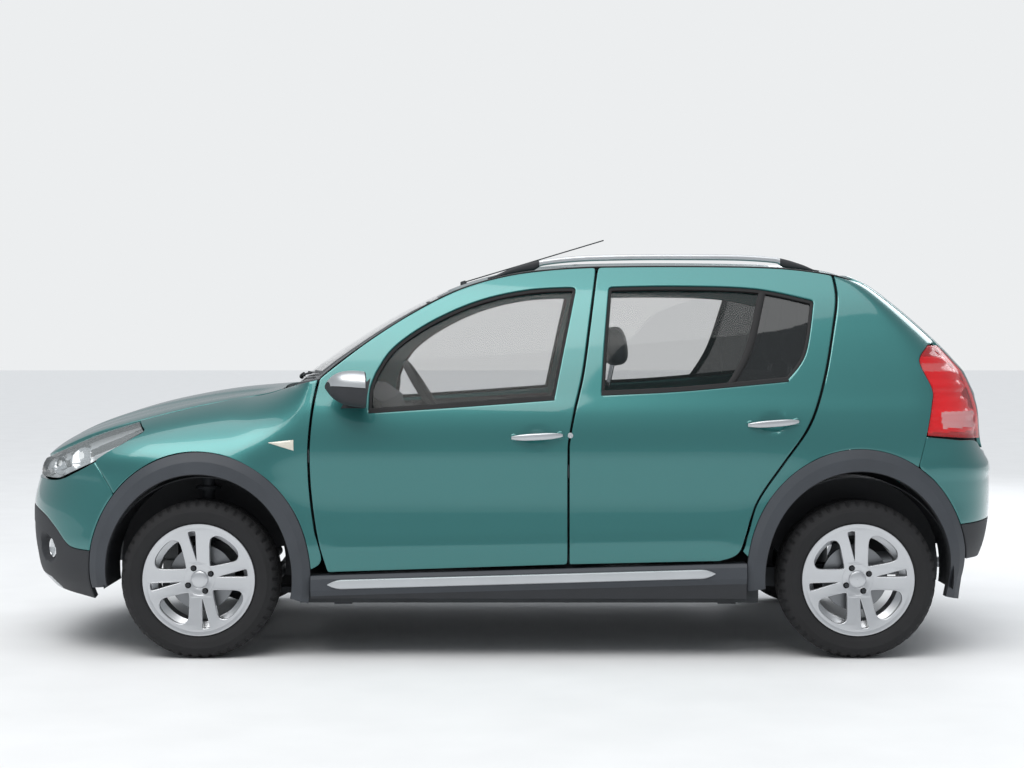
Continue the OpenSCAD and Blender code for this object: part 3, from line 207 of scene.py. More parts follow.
def crease(d, z):
    """Ridge low on the doors, fading into the arches."""
    line = mix(436, 474, clamp01((d - 480) / 1500))
    fade = smooth01((d - 470) / 120) * smooth01((r(-470) - d) / 120)
    return 4.5 * fade * np.exp(-np.abs(z - line) / 16)


def flare(d, z):
    """The panels swell a little round both arches."""
    out = 0
    for c in (0, WHEELBASE):
        q = np.hypot((d - c) / LIP_W, (z - 328) / LIP_H)
        out = out + 9 * np.exp(-np.maximum(0, q - 1) * 9) * (q > 0.7)
    return out


def cup(d, z):
    """Hollow behind each pull handle."""
    out = 0
    for c, h in ((1327, 872), (r(-338), 923)):
        q = np.hypot((d - c) / 70, (z - h) / 46)
        out = out - 9 * smooth01((1 - q) / 0.9)
    return out


def relief(d, z):
    return crease(d, z) + flare(d, z) + cup(d, z)


def on_side(p, depth=0, detail=True):
    d, z = p[..., 0], p[..., 1]
    out = points(d, side_y(d, z), z)
    n = body_normal(d, z)
    lift = relief(d, z) if detail else 0
    return out + n * (lift - np.asarray(depth, float))[..., None]


# Outlines
def loop_of(bottom, rear, top, front, u, v):
    return np.vstack([spline(bottom, u[:-1]), spline(rear, v[:-1]), spline(top, u[::-1][:-1]),
                      spline(front, v[::-1][:-1])])


def inset(p, g):
    v = np.roll(p, -1, 0) - p
    n = points(-v[:, 1], v[:, 0]) / np.maximum(np.linalg.norm(v, axis=1), 0.001)[:, None]
    m = n + np.roll(n, 1, 0)
    m /= np.maximum(0.2, np.linalg.norm(m, axis=1))[:, None]
    return p + m * (g / np.maximum(0.5, (m * n).sum(1)))[:, None]


def rounded(p, mm):
    """Rounds the corners of a closed loop by averaging along it; long smooth edges keep their place."""
    for _ in range(int(mm)):
        q = (np.roll(p, 1, 0) + np.roll(p, -1, 0)) / 2
        bend = np.linalg.norm(q - p, axis=1, keepdims=True)
        p = p + (q - p) * np.minimum(1, bend / 1.2) * 0.5
    return p


def coons(loop, u, v):
    nu, nv, n = len(u) - 1, len(v) - 1, len(loop)
    b, rr = loop[: nu + 1], loop[nu: nu + nv + 1]
    t = loop[nu + nv: 2 * nu + nv + 1][::-1]
    f = loop[(n - np.arange(nv + 1)) % n]
    U, V = u[None, :, None], v[:, None, None]
    return (b[None] * (1 - V) + t[None] * V + f[:, None] * (1 - U) + rr[:, None] * U
            - (loop[0] * (1 - U) * (1 - V) + loop[nu] * U * (1 - V) + loop[2 * nu + nv] * (1 - U) * V
               + loop[nu + nv] * U * V))


def steps(n, ends=0.01):
    """Parameters from 0 to 1 with two extra short steps at both ends, for a rounded edge."""
    return np.concatenate([[0, ends * 0.35], np.linspace(ends, 1 - ends, n), [1 - ends * 0.35, 1]])


# Meshes
def mesh_object(name, verts, faces, material, body, replaced=(), angle=38, side=1):
    v = np.asarray(verts, float).reshape(-1, 3) * [1, side, 1] + [SHIFT, 0, 0]
    mesh = bpy.data.meshes.new(name)
    mesh.from_pydata((v / 1000).tolist(), [], [f if side > 0 else f[::-1] for f in faces])
    mesh.validate()
    mesh.shade_smooth()
    mesh.set_sharp_from_angle(angle=math.radians(angle))
    for m in material if isinstance(material, (list, tuple)) else [material]:
        mesh.materials.append(m)
    o = bpy.data.objects.new(name, mesh)
    bpy.context.collection.objects.link(o)
    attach(o, body)
    if replaced:
        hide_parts(*([replaced] if isinstance(replaced, str) else replaced))
    return o


def quads(rows, cols, close_rows=False, close_cols=False, start=0):
    out = []
    for i in range(rows if close_rows else rows - 1):
        for j in range(cols if close_cols else cols - 1):
            a, b = i * cols + j, i * cols + (j + 1) % cols
            c, d = (i + 1) % rows * cols + j, (i + 1) % rows * cols + (j + 1) % cols
            out.append((start + a, start + b, start + d, start + c))
    return out


def rim_of(rows, cols):
    return (list(range(cols)) + [i * cols + cols - 1 for i in range(1, rows)]
            + [(rows - 1) * cols + j for j in range(cols - 2, -1, -1)] + [i * cols
                                                                          for i in range(rows - 2, 0, -1)])


class Parts:
    """Collects vertices and faces of several forms into one mesh."""

    def __init__(self):
        self.v, self.f, self.m = [], [], []
        self.n = 0

    def add(self, verts, faces, slot=0):
        verts = np.asarray(verts, float).reshape(-1, 3)
        self.v.append(verts)
        self.f += [tuple(i + self.n for i in f) for f in faces]
        self.m += [slot] * len(faces)
        self.n += len(verts)

    def grid(self, g, slot=0, close_rows=False, close_cols=False):
        self.add(g, quads(g.shape[0], g.shape[1], close_rows, close_cols), slot)

    def slab(self, outer, inner, slot=0):
        rows, cols = outer.shape[:2]
        n = rows * cols
        rim = rim_of(rows, cols)
        faces = quads(rows, cols) + [f[::-1] for f in quads(rows, cols, start=n)]
        faces += [(rim[k], rim[k - 1], rim[k - 1] + n, rim[k] + n) for k in range(len(rim))]
        self.add(np.concatenate([outer.reshape(-1, 3), inner.reshape(-1, 3)]), faces, slot)

    def tube(self, rings, slot=0, caps=True):
        rings = np.asarray(rings, float)
        rows, cols = rings.shape[:2]
        faces = quads(rows, cols, close_cols=True)
        if caps:
            faces += [tuple(range(cols))[::-1], tuple(range((rows - 1) * cols, rows * cols))]
        self.add(rings, faces, slot)

    def mirrored(self):
        v, n = np.concatenate(self.v) * [1, -1, 1], self.n
        self.f += [tuple(i + n for i in f[::-1]) for f in self.f]
        self.m += self.m
        self.v.append(v)
        self.n += n

    def make(self, name, materials, body, replaced=(), angle=38, side=1):
        o = mesh_object(name, np.concatenate(self.v), self.f, materials, body, replaced, angle, side)
        if len(o.data.polygons) == len(self.m):
            o.data.polygons.foreach_set("material_index", self.m)
        return o


def edge_drop(u, v, e):
    """Depth by which a panel's outermost steps turn down."""
    tiny = 1e-9

    def along_one(t):
        last = (t < tiny) | (t > 1 - tiny)
        near = (t < t[2] - tiny) | (t > t[-3] + tiny)
        return np.where(last, 1.0, np.where(near, EDGE_STEP, 0.0))

    return e * np.maximum(along_one(u)[None, :], along_one(v)[:, None])


def tube_path(points, radius, n=12, squash=(1, 1)):
    """Rings of a round bar along a path of points."""
    p = np.asarray(points, float)
    t = np.gradient(p, axis=0)
    t /= np.linalg.norm(t, axis=1, keepdims=True)
    up = np.array([0, 0, 1.0]) if abs(t[:, 2]).max() < 0.9 else np.array([0, 1.0, 0])
    s = np.cross(t, up)
    s /= np.linalg.norm(s, axis=1, keepdims=True)
    w = np.cross(s, t)
    a = full_turn(n)
    rad = np.broadcast_to(np.asarray(radius, float), len(p))
    return (p[:, None] + s[:, None] * (np.cos(a)[None, :, None] * rad[:, None, None] * squash[0])
            + w[:, None] * (np.sin(a)[None, :, None] * rad[:, None, None] * squash[1]))


def lathe(profile, centre, n, axis_sign=1, phase=0):
    """Rings about the Y axis: profile of (radius, outward offset)."""
    p = np.asarray(profile, float)
    a = full_turn(n) + phase
    return points(centre[0] + p[:, 0, None] * np.cos(a),
                  np.broadcast_to(centre[1] + axis_sign * p[:, 1, None], (len(p), n)),
                  centre[2] + p[:, 0, None] * np.sin(a))


# Materials
def srgb(h):
    c = [int(h[i:i + 2], 16) / 255 for i in (1, 3, 5)]
    return tuple(x / 12.92 if x < 0.04045 else ((x + 0.055) / 1.055) ** 2.4 for x in c) + (1.0,)


def shader_node(tree, kind, links=(), **values):
    """New shader node; links are pairs of an input's name and the output that feeds it."""
    node = tree.nodes.new("ShaderNode" + kind)
    for key, value in values.items():
        node.inputs[key.replace("_", " ")].default_value = value
    for key, output in links:
        tree.links.new(output, node.inputs[key])
    return node


def new_material(name):
    m = bpy.data.materials.new(name)
    m.use_nodes = True
    return m, m.node_tree, m.node_tree.nodes["Principled BSDF"]


def material(name, colour, rough=0.5, metallic=0.0, grain=0.0, grain_scale=400.0, shade=0.08, shade_scale=6.0,
             rough_var=0.05, coat=0.0, stretch=(1, 1, 1), **sockets):
    """Surface whose colour and roughness vary slowly, with a fine grain where it has one."""
    m, nt, b = new_material(name)
    b.inputs["Metallic"].default_value = metallic
    b.inputs["Coat Weight"].default_value = coat
    for k, v in sockets.items():
        b.inputs[k.replace("_", " ")].default_value = v
    coord = shader_node(nt, "TexCoord")
    mapped = shader_node(nt, "Mapping", [("Vector", coord.outputs["Object"])], Scale=stretch)
    place = [("Vector", mapped.outputs["Vector"])]
    slow = shader_node(nt, "TexNoise", place, Scale=shade_scale, Detail=5)
    share = slow.outputs["Fac"]
    ramp = shader_node(nt, "ValToRGB", [("Fac", share)])
    c = srgb(colour)
    for end, position, factor in zip(ramp.color_ramp.elements, (0.3, 0.7), (1 - shade, 1 + shade)):
        end.position = position
        end.color = tuple(min(1, x * factor) for x in c[:3]) + (1,)
    nt.links.new(ramp.outputs["Color"], b.inputs["Base Color"])
    spread = shader_node(nt, "MapRange", [("Value", share)], To_Min=max(0.01, rough - rough_var),
                         To_Max=min(1, rough + rough_var))
    nt.links.new(spread.outputs["Result"], b.inputs["Roughness"])
    if grain:
        fine = shader_node(nt, "TexNoise", place, Scale=grain_scale, Detail=3)
        bump = shader_node(nt, "Bump", [("Height", fine.outputs["Fac"])], Strength=grain, Distance=0.0006)
        nt.links.new(bump.outputs["Normal"], b.inputs["Normal"])
    return m


def glass_material(name, colour, alpha):
    """Thin glass: mostly clear, with a tint and full reflections."""
    m, nt, b = new_material(name)
    for key, value in {"Base Color": srgb(colour), "Roughness": 0.02, "Alpha": alpha, "Coat Weight": 1.0,
                       "Coat Roughness": 0.01}.items():
        b.inputs[key].default_value = value
    noise = shader_node(nt, "TexNoise", Scale=3)
    bump = shader_node(nt, "Bump", [("Height", noise.outputs["Fac"])], Strength=0.01)
    nt.links.new(bump.outputs["Normal"], b.inputs["Normal"])
    return m


PAINT = material("paint", "#327675", 0.32, 0.6, grain=0.05, grain_scale=1800, shade=0.05, shade_scale=900,
                 rough_var=0.03,
                 coat=1.0, Coat_Roughness=0.04)
BLACK = material("black_plastic", "#2b2d31", 0.62, grain=0.5, grain_scale=1100, shade=0.12, shade_scale=9)
CLAD = material("cladding", "#3d4147", 0.6, grain=0.45, grain_scale=1100, shade=0.1, shade_scale=7)
GLOSS = material("gloss_black", "#101114", 0.16, shade=0.2, coat=0.6)
RUBBER = material("seal_rubber", "#141416", 0.7, grain=0.3, grain_scale=700, shade=0.15)
TYRE = material("tyre_rubber", "#1c1c1e", 0.78, grain=0.5, grain_scale=900, shade=0.2, shade_scale=14)
SILVER = material("silver_trim", "#c3c6c9", 0.34, 0.75, grain=0.08, grain_scale=1500, shade=0.05)
ALLOY = material("alloy", "#c9cbce", 0.32, 0.8, grain=0.12, grain_scale=1600, shade=0.05, coat=0.5)
STEEL = material("chassis_steel", "#2f3236", 0.6, 0.35, grain=0.4, grain_scale=260, shade=0.22,
                 shade_scale=11)
DISC = material("brake_disc", "#8b8d90", 0.38, 0.9, grain=0.25, grain_scale=300, shade=0.15,
                stretch=(1, 6, 1))
SHELL = material("underbody", "#34373a", 0.7, 0.1, grain=0.6, grain_scale=180, shade=0.2, shade_scale=8)
ENGINE = material("cast_alloy", "#86888a", 0.55, 0.7, grain=0.6, grain_scale=240, shade=0.18)
DASH = material("dash_plastic", "#2e3033", 0.66, grain=0.55, grain_scale=800, shade=0.1)
TRIM = material("door_trim", "#3a3c40", 0.8, grain=0.6, grain_scale=600, shade=0.12)
FABRIC = material("seat_fabric", "#3f4247", 0.92, grain=0.9, grain_scale=520, shade=0.16, shade_scale=40,
                  Sheen_Weight=0.4)
RED = material("lamp_red", "#f01a24", 0.12, shade=0.12, shade_scale=5, coat=1.0)
DEEP_RED = material("lamp_deep_red", "#6e0d12", 0.15, shade=0.12, coat=1.0)
PINK = material("lamp_pink", "#d98a8a", 0.15, shade=0.08, coat=1.0)
CHROME = material("reflector", "#e2e4e6", 0.08, 1.0, shade=0.04)
WHITE = material("lamp_white", "#e9ebec", 0.2, shade=0.05, coat=1.0)
GLASS = glass_material("glass", "#2c3534", 0.14)
TINT = glass_material("dark_glass", "#15191a", 0.72)
LENS = glass_material("lens", "#dfe8ea", 0.12)

# Camera, light and floor; the camera's values come from fitting the view to the photo.
scene = bpy.context.scene
scene.view_settings.view_transform = "Standard"
cam = bpy.data.objects.new("camera", bpy.data.cameras.new("camera"))
bpy.context.collection.objects.link(cam)
PHOTO_W, FOCAL_PX, SENSOR = 1024, 1791, 36
cam.data.lens = FOCAL_PX / PHOTO_W * SENSOR
cam.data.sensor_width = SENSOR
cam.data.shift_x = -3 / PHOTO_W
cam.data.clip_end = 200
cam.location = (0.029, -7.83, 1.264)
cam.rotation_euler = (math.radians(90 - 1.503), 0, 0)
scene.camera = cam

world = bpy.data.worlds.new("world")
scene.world = world
world.use_nodes = True
tree = world.node_tree
soft_light = tree.nodes["Background"]
soft_light.inputs["Color"].default_value = (0.80, 0.84, 0.88, 1)
soft_light.inputs["Strength"].default_value = 0.5
backdrop = shader_node(tree, "Background", Color=(0.84, 0.855, 0.865, 1))
seen = shader_node(tree, "LightPath").outputs
either = shader_node(tree, "Math", [(0, seen["Is Camera Ray"]), (1, seen["Is Transmission Ray"])])
either.operation = "MAXIMUM"
pick = shader_node(tree, "MixShader", [("Fac", either.outputs["Value"]),
                                       (1, soft_light.outputs["Background"]),
                                       (2, backdrop.outputs["Background"])])
tree.links.new(pick.outputs["Shader"], tree.nodes["World Output"].inputs["Surface"])


def area(name, loc, target, size, power, colour):
    l = bpy.data.lights.new(name, "AREA")
    l.shape = "RECTANGLE"
    l.size, l.size_y = size
    l.energy = power
    l.color = colour
    o = bpy.data.objects.new(name, l)
    bpy.context.collection.objects.link(o)
    o.location = loc
    o.rotation_euler = (Vector(target) - Vector(loc)).to_track_quat("-Z", "Y").to_euler()


area("key", (-2.5, -5.0, 7.5), (0, 0, 0.9), (8, 4), 260, (1.0, 0.98, 0.95))
area("back", (4.5, 6.0, 4.5), (0, 0, 0.8), (6, 3), 160, (0.95, 0.97, 1.0))
sun = bpy.data.objects.new("sky", bpy.data.lights.new("sky", "SUN"))
sun.data.energy = 1.7
sun.data.angle = math.radians(70)
sun.rotation_euler = (math.radians(12), math.radians(-8), 0)
bpy.context.collection.objects.link(sun)

floor = bpy.data.objects.new("floor", bpy.data.meshes.new("floor"))
floor.data.from_pydata([(-60, -60, 0), (60, -60, 0), (60, 60, 0), (-60, 60, 0)], [], [(0, 1, 2, 3)])
floor.data.materials.append(material("floor", "#e9eaeb", 0.75, grain=0.2, grain_scale=40, shade=0.02,
                                     shade_scale=3))
bpy.context.collection.objects.link(floor)

# Shut lines and window outlines, as in the solids
FRONT_SHUT = [[505, 340], [468, 474], [443, 640], [436, 800], [443, 930], [454, 1020], [470, 1103]]
MIDDLE_SHUT = [[1450, 371], [1450, 600], [1450, 800], [1453, 860], [1474, 970], [1510, 1120], [1540, 1320],
               [1573, 1549]]
REAR_SHUT = [[r(-548), 384], [r(-475), 412], [r(-442), 490], [r(-400), 620], [r(-300), 770], [r(-195), 920],
             [r(-130), 1090], [r(-80), 1300], [r(-58), 1420], [r(-64), 1517]]
SILL_F, SILL_M, SILL_R = np.array([505, 340]), np.array([1450, 371]), np.array([r(-548), 384])
WINDOW = {
    "front": ([[668, 975], [1040, 1000], [1396, 1026]], [[1396, 1026], [1430, 1190], [1488, 1466]],
              [[694, 1125], [760, 1222], [900, 1322], [1090, 1408], [1290, 1454], [1488, 1466]],
              [[668, 975], [672, 1060], [694, 1125]]),
    "rear": ([[1580, 1044], [1900, 1060], [r(-270), 1098]],
             [[r(-270), 1098], [r(-195), 1200], [r(-150), 1410]],
             [[1618, 1466], [1900, 1470], [r(-380), 1458], [r(-150), 1410]],
             [[1580, 1044], [1596, 1240], [1618, 1466]])}


def gutter_points(a, b, n=6):
    return [[d, float(gutter_z(d))] for d in np.linspace(a, b, n + 1)]


DOOR = {
    "front": ([SILL_F, mix(SILL_F, SILL_M, 0.5), SILL_M], MIDDLE_SHUT, gutter_points(470, 1573), FRONT_SHUT),
    "rear": ([SILL_M, mix(SILL_M, SILL_R, 0.5), SILL_R], REAR_SHUT, gutter_points(1573, r(-64)), MIDDLE_SHUT)}


def shut_at(line, z):
    return along([[p[1], p[0]] for p in line], z)


def door_depth(z):
    return mix(70, 38, clamp01((z - 930) / 90))


def door(end, name, side):
    body = f"door_{end}_{name}"
    nu, nv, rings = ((90, 66, 44))
    u, v = np.linspace(0, 1, nu + 1), np.linspace(0, 1, nv + 1)
    skin = rounded(inset(loop_of(*DOOR[end], u, v), SHUT / 2), 4)
    hole = rounded(loop_of(*WINDOW[end], u, v), 16)
    back = inset(skin, 9)
    out = [on_side(back, door_depth(back[:, 1]) * 0.55, False)]
    for g, dep in ((0, 16), (0, 3.2), (0.9, 0.9), (3.2, 0)):
        out.append(on_side(inset(skin, g) if g else skin, dep))
    a, b = inset(skin, 3.2), inset(hole, -3.2)
    for k in range(1, rings):
        out.append(on_side(mix(a, b, k / rings)))
    for g, dep in ((-3.2, 0), (-0.9, 0.9), (0, 3.2), (0, 26)):
        out.append(on_side(inset(hole, g) if g else hole, dep))
    for k in range(6):
        q = mix(hole, back, k / 6)
        out.append(on_side(q, door_depth(q[:, 1]), False))
    p = Parts()
    p.grid(np.stack(out), 0, close_rows=True, close_cols=True)
    p.make(f"{body}_shell", [PAINT], body, body, 40, side)

    seal = Parts()
    rows = [(-1, 8), (1, 5.5), (6, 5), (12, 7), (13, 15.6), (2, 15.6)]
    seal.grid(np.stack([on_side(inset(hole, g), dep, False) for g, dep in rows]), 0, True, True)
    low = spline(WINDOW[end][0], np.linspace(0.0, 1.0, 60))
    sec = [(-6, 3), (-5, -3.5), (8, -3.5), (13, 2), (13, 14), (-6, 14)]
    seal.tube(np.stack([on_side(low + [0, h - 4], dep, False) for h, dep in sec], 1))
    seal.make(f"{body}_seals", [RUBBER], body, (), 40, side)

    trim_grid(end, body, side)


def trim_grid(end, body, side):
    """Inner trim with an armrest and a pocket."""
    line = DOOR[end]
    z = np.linspace(0, 1, 30)
    u = np.linspace(0, 1, 44)
    lowz, rows = 410, []
    for t in z:
        top = np.interp(u, [0, 1], [WINDOW[end][0][0][1], WINDOW[end][0][2][1]]) - 26
        zz = mix(np.full_like(u, lowz), top, t)
        f = shut_at(line[3], zz) + 52
        b = shut_at(line[1], zz) - 52 - (60 if end == "rear" else 0) * (1 - t)
        d = mix(f, b, u)
        arm = 46 * np.exp(-((zz - 700) / 42.0) ** 2)
        arm = arm * smooth01((u - 0.12) / 0.2) * smooth01((0.93 - u) / 0.12)
        pocket = 20 * smooth01((520 - zz) / 40) * smooth01((u - 0.08) / 0.1) * smooth01((0.8 - u) / 0.15)
        rim = np.minimum(np.minimum(u, 1 - u) * 22, np.minimum(t, 1 - t) * 14)
        inward = door_depth(zz) + 1.2 + 7 * smooth01(rim) + arm + pocket
        rows.append(points(d, side_y(d, zz) - inward, zz))
    g = np.stack(rows)
    p = Parts()
    p.grid(g[:, ::-1])
    p.make(f"{body}_trim", [TRIM], body, (), 50, side)


def door_glass(end, name, side):
    body = f"door_{end}_{name}"
    node = f"glass_{end}_{name}"
    u, v = np.linspace(0, 1, 41), np.linspace(0, 1, 31)
    loop = rounded(inset(loop_of(*WINDOW[end], u, v), 1), 8)
    g = coons(loop, u, v)
    p = Parts()
    outer, inner = on_side(g, GLASS_DEPTH, False), on_side(g, GLASS_DEPTH + GLASS_T, False)
    if end == "front":
        p.slab(outer, inner)
        p.make(f"{node}_pane", [GLASS], body, node, 30, side)
        return
    cut = 28
    p.slab(outer[:, :cut + 1], inner[:, :cut + 1])
    p.make(f"{node}_pane", [GLASS], body, node, 30, side)
    p = Parts()
    p.slab(outer[:, cut:], inner[:, cut:])
    p.make(f"{node}_quarter_light", [TINT], body, (), 30, side)
    bar = []
    line = g[:, cut]
    for w, dep in ((-15, 15.5), (-14, 8), (-10, 6), (10, 6), (14, 8), (15, 15.5)):
        bar.append(on_side(line + [w, 0], dep, False))
    p = Parts()
    p.tube(np.stack(bar, 1))
    p.make(f"door_{end}_{name}_divider", [RUBBER], body, (), 40, side)


def handle(end, name, side):
    body = f"door_{end}_{name}"
    c, h = (1327, 876) if end == "front" else (r(-338), 927)
    t = np.linspace(-1, 1, 41)
    d = c + 100 * t
    z = h + 5 * t * (1 if end == "front" else 1.4)
    y = side_y(d, z) + 4 + 19 * (1 - np.abs(t) ** 3.2)
    tall = 13.5 * (1 - 0.55 * np.abs(t) ** 3)
    thick = 7 * (1 - 0.35 * np.abs(t) ** 2)
    a = full_turn(20)
    p = Parts()
    p.tube(np.stack([points(d[i], y[i] + thick[i] * squared(np.cos(a), 0.75),
                            z[i] + tall[i] * squared(np.sin(a), 0.75))
                     for i in range(len(t))]))

    def boss(d, z, y, rad, section):
        """Round foot or lock on the panel: section of (share of the radius, height)."""
        return np.stack([points(d + rad * s * np.cos(a), y + up, z + rad * s * np.sin(a)) for s,
                         up in section])

    for k in (-1, 1):
        at = c + k * 90
        section = ((1.1, -6), (1.1, 1.5), (0.95, 3), (0.8, 7))
        p.tube(boss(at, h + 5 * k, float(side_y(at, h)), 15, section), 1)
    if end == "front":
        at = c + 130
        section = ((1, -6), (1, 1), (0.9, 2.2), (0.5, 2.2), (0.42, 0.8))
        p.tube(boss(at, h + 4, float(side_y(at, h + 2)), 11, section))
    p.make(f"{body}_handle", [SILVER, PAINT], body, (), 45, side)


def door_mirror(name, side):
    """Rounded housing in two shells on a foot, with the glass facing rearwards."""
    body = f"door_front_{name}"
    y0 = float(side_y(595, 1055))
    a = full_turn(40)
    upper = np.linspace(0.02 * np.pi, 0.98 * np.pi, 40)

    def ring(t, grow=0.0, lift=0.0, a=a):
        d = mix(516, 664, t)
        half_z = (88 * (1 - (1 - t) ** 2.6) ** 0.5) * (1 - 0.05 * t) + grow
        half_y = (82 * (1 - (1 - t) ** 3.0) ** 0.5) + grow
        z = 1060 + 12 * (1 - t) + lift
        return points(d + 12 * np.cos(a), y0 + 128 + half_y * squared(np.cos(a), 0.72),
                      z + half_z * 0.82 * squared(np.sin(a), 0.8))

    p = Parts()
    p.tube(np.stack([ring(x) for x in np.linspace(0.012, 1, 22)] + [ring(0.985, -6), ring(0.9, -8)]))
    p.tube(np.stack([ring(0.955, -9), ring(0.955, -60)]), 2)
    p.grid(np.stack([ring(x, 2.2, 1.0, upper) for x in np.linspace(0.02, 0.97, 20)]), 1)
    s = np.linspace(0, 1, 9)
    p.tube(np.stack([points(606 + (30 - 4 * x) * np.cos(a), mix(y0 + 16, y0 + 92, x),
                            mix(1012, 1022, x) + (20 - 3 * x) * np.sin(a)) for x in s]))
    p.make(f"mirror_{name}", [BLACK, SILVER, CHROME], body, f"fittings_front_{name}", 45, side)
    q = Parts()
    low = rows_between((560, 985), (652, 985), 12)
    top = rows_between((572, 1007), (672, 1101), 12)
    sail = rows_between(low, top, 10)
    q.slab(on_side(sail, -2.5, False), on_side(sail, 2, False))
    q.make(f"mirror_sail_{name}", [BLACK], body, (), 45, side)


for end in ("front", "rear"):
    for name, side in SIDES.items():
        door(end, name, side)
        door_glass(end, name, side)
        handle(end, name, side)
for name, side in SIDES.items():
    door_mirror(name, side)
    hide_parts(f"fittings_rear_{name}")


# Wings, quarters, roof, bonnet
def lip(c, a, g=0):
    """Outer edge of an arch's cladding, at an angle round the axle at c; the rear arch stands higher."""
    a = np.radians(a)
    return points(c + (LIP_W - g) * np.cos(a), ARCH_Z + (LIP_H + (REAR_RAISE if c else 0) - g) * np.sin(a))


def arch(c, a, g=0):
    """Inner edge of the same cladding."""
    a = np.radians(a)
    return points(c + (ARCH_W - g) * np.cos(a), ARCH_Z + (ARCH_H + (REAR_RAISE if c else 0) - g) * np.sin(a))


def lip_half(c, z):
    return LIP_W * np.sqrt(np.maximum(0, 1 - ((z - ARCH_Z) / (LIP_H + (REAR_RAISE if c else 0))) ** 2))


def side_skin(name, g, drop, node):
    """Painted panel on the car's side with its rim turned inwards, made for both sides."""
    skin = on_side(g, drop)
    rim = rim_of(*g.shape[:2])
    turned = on_side(g.reshape(-1, 2)[rim], PANEL_RIM)
    p = Parts()
    p.grid(skin[:, ::-1])
    p.grid(np.stack([turned, skin.reshape(-1, 3)[rim]])[:, ::-1], 0, close_cols=True)
    p.mirrored()
    p.make(name, [PAINT], "body", node, 40, 1)


WING_CORNER, WING_TIP, WING_HEAD = np.array([-420., 774]), np.array([-232., 890]), np.array([-269., 928])
wing_front = [mix(lip(0, 139), WING_CORNER, i / 3) for i in range(3)]
wing_front += [mix(WING_CORNER, WING_TIP, i / 4) for i in range(4)]
wing_front += [mix(WING_TIP, WING_HEAD, i / 2) for i in range(3)]
wing_lip = [lip(0, 139 - 8 * i) for i in range(18)]
wing_rear = [wing_lip[17]]
for i in range(1, 10):
    z = mix(300, 1098, i / 9)
    wing_rear.append([float(shut_at(FRONT_SHUT, z)) - SHUT / 2, z])
wing_top = [[-269, 928], [-150, 958], [-35, 985], [100, 1013], [234, 1034], [350, 1070], wing_rear[9]]
u, v = steps(90, 0.008), steps(60, 0.008)
wing = rounded(inset(loop_of(wing_lip, wing_rear, wing_top, wing_front, u, v), 1.2), 4)
side_skin("front_wings_skin", coons(wing, u, v), edge_drop(u, v, PANEL_EDGE), "front_wings")

LAMP_FRONT = [[r(262), 878], [r(290), 1000], [r(296), 1060], [r(254), 1170], [r(300), 1232]]
lamp_edge = spline(LAMP_FRONT, np.linspace(0, 1, 9))


def gate_half(z):
    return mix(560, 600, clamp01((z - 830) / 650)) - 60 * clamp01((z - 1230) / 300) ** 2


def gate_edge(z):
    z = np.asarray(z, float)
    return points(tail_d(gate_half(z), z), z)


# Heights along the quarter's front edge.
QUARTER_Z = [428, 478, 527, 580, 645, 724, 800, 880, 970, 1080, 1210, 1360, 1512]


def quarter_rear(t):
    """Rear edge of the quarter: along the bumper, the lamp and the tailgate."""
    low = lip(WHEELBASE, 59)
    out = []
    for x in t:
        if x <= 1:
            out.append(mix(low, lamp_edge[0], x))
        elif x <= 9:
            out.append(spline(LAMP_FRONT, np.array([(x - 1) / 8]))[0])
        elif x <= 10:
            out.append(mix(lamp_edge[8], gate_edge(1244), x - 9))
        else:
            out.append(gate_edge(np.interp(x, [10, 11, 12], [1244, 1360, 1486])))
    return np.array(out)


def rear_quarters():
    k, m = ((9, 6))
    n1, n2, nv = 12 * k, 2 * k * 3, 12 * m
    a = np.concatenate([np.linspace(171, 75, n1 + 1), np.linspace(75, 59, n2 + 1)[1:]])
    z = np.interp(np.linspace(0, 12, n1 + 1), np.arange(13), QUARTER_Z)
    front = points(shut_at(REAR_SHUT, z) + SHUT / 2, z)
    rear = quarter_rear(np.linspace(0, 12, nv + 1))
    bottom = lip(WHEELBASE, a)
    top = np.vstack([front, [mix(front[-1], rear[-1], x) for x in np.linspace(0, 1, n2 + 1)[1:]]])
    left = np.array([mix(bottom[0], top[0], x) for x in np.linspace(0, 1, nv + 1)])
    loop = inset(np.vstack([bottom[:-1], rear[:-1], top[::-1][:-1], left[::-1][:-1]]), 1.2)
    nu = n1 + n2
    b, rr, t = loop[:nu + 1], loop[nu:nu + nv + 1], loop[nu + nv:2 * nu + nv + 1][::-1]
    v = np.linspace(0, 1, nv + 1)[:, None, None]
    ahead = b[None, :n1] * (1 - v) + t[None, :n1] * v
    seam = b[None, n1] * (1 - v[:, 0]) + t[None, n1] * v[:, 0]
    u = np.linspace(0, 1, n2 + 1)[None, :, None]
    behind = (b[None, n1:] * (1 - v) + t[None, n1:] * v + seam[:, None] * (1 - u) + rr[:, None] * u
              - (b[n1] * (1 - u) * (1 - v) + b[nu] * u * (1 - v) + t[n1] * (1 - u) * v + t[nu] * u * v))
    g = np.concatenate([ahead, behind], 1)
    drop = np.zeros(g.shape[:2])
    drop[[0, -1], :] = drop[:, [0, -1]] = 1.6
    side_skin("rear_quarters_skin", g, drop, "rear_quarters")


rear_quarters()

ROOF_FRONT = [[0, 950], [0.5, 962], [1, 1008]]
GATE_AXIS = r(18)


def roof_point(d, c):
    ye = side_y(d, gutter_z(d)) - 30
    return points(d, ye * c, roof_z(d) - (roof_z(d) - gutter_z(d)) * c * c)


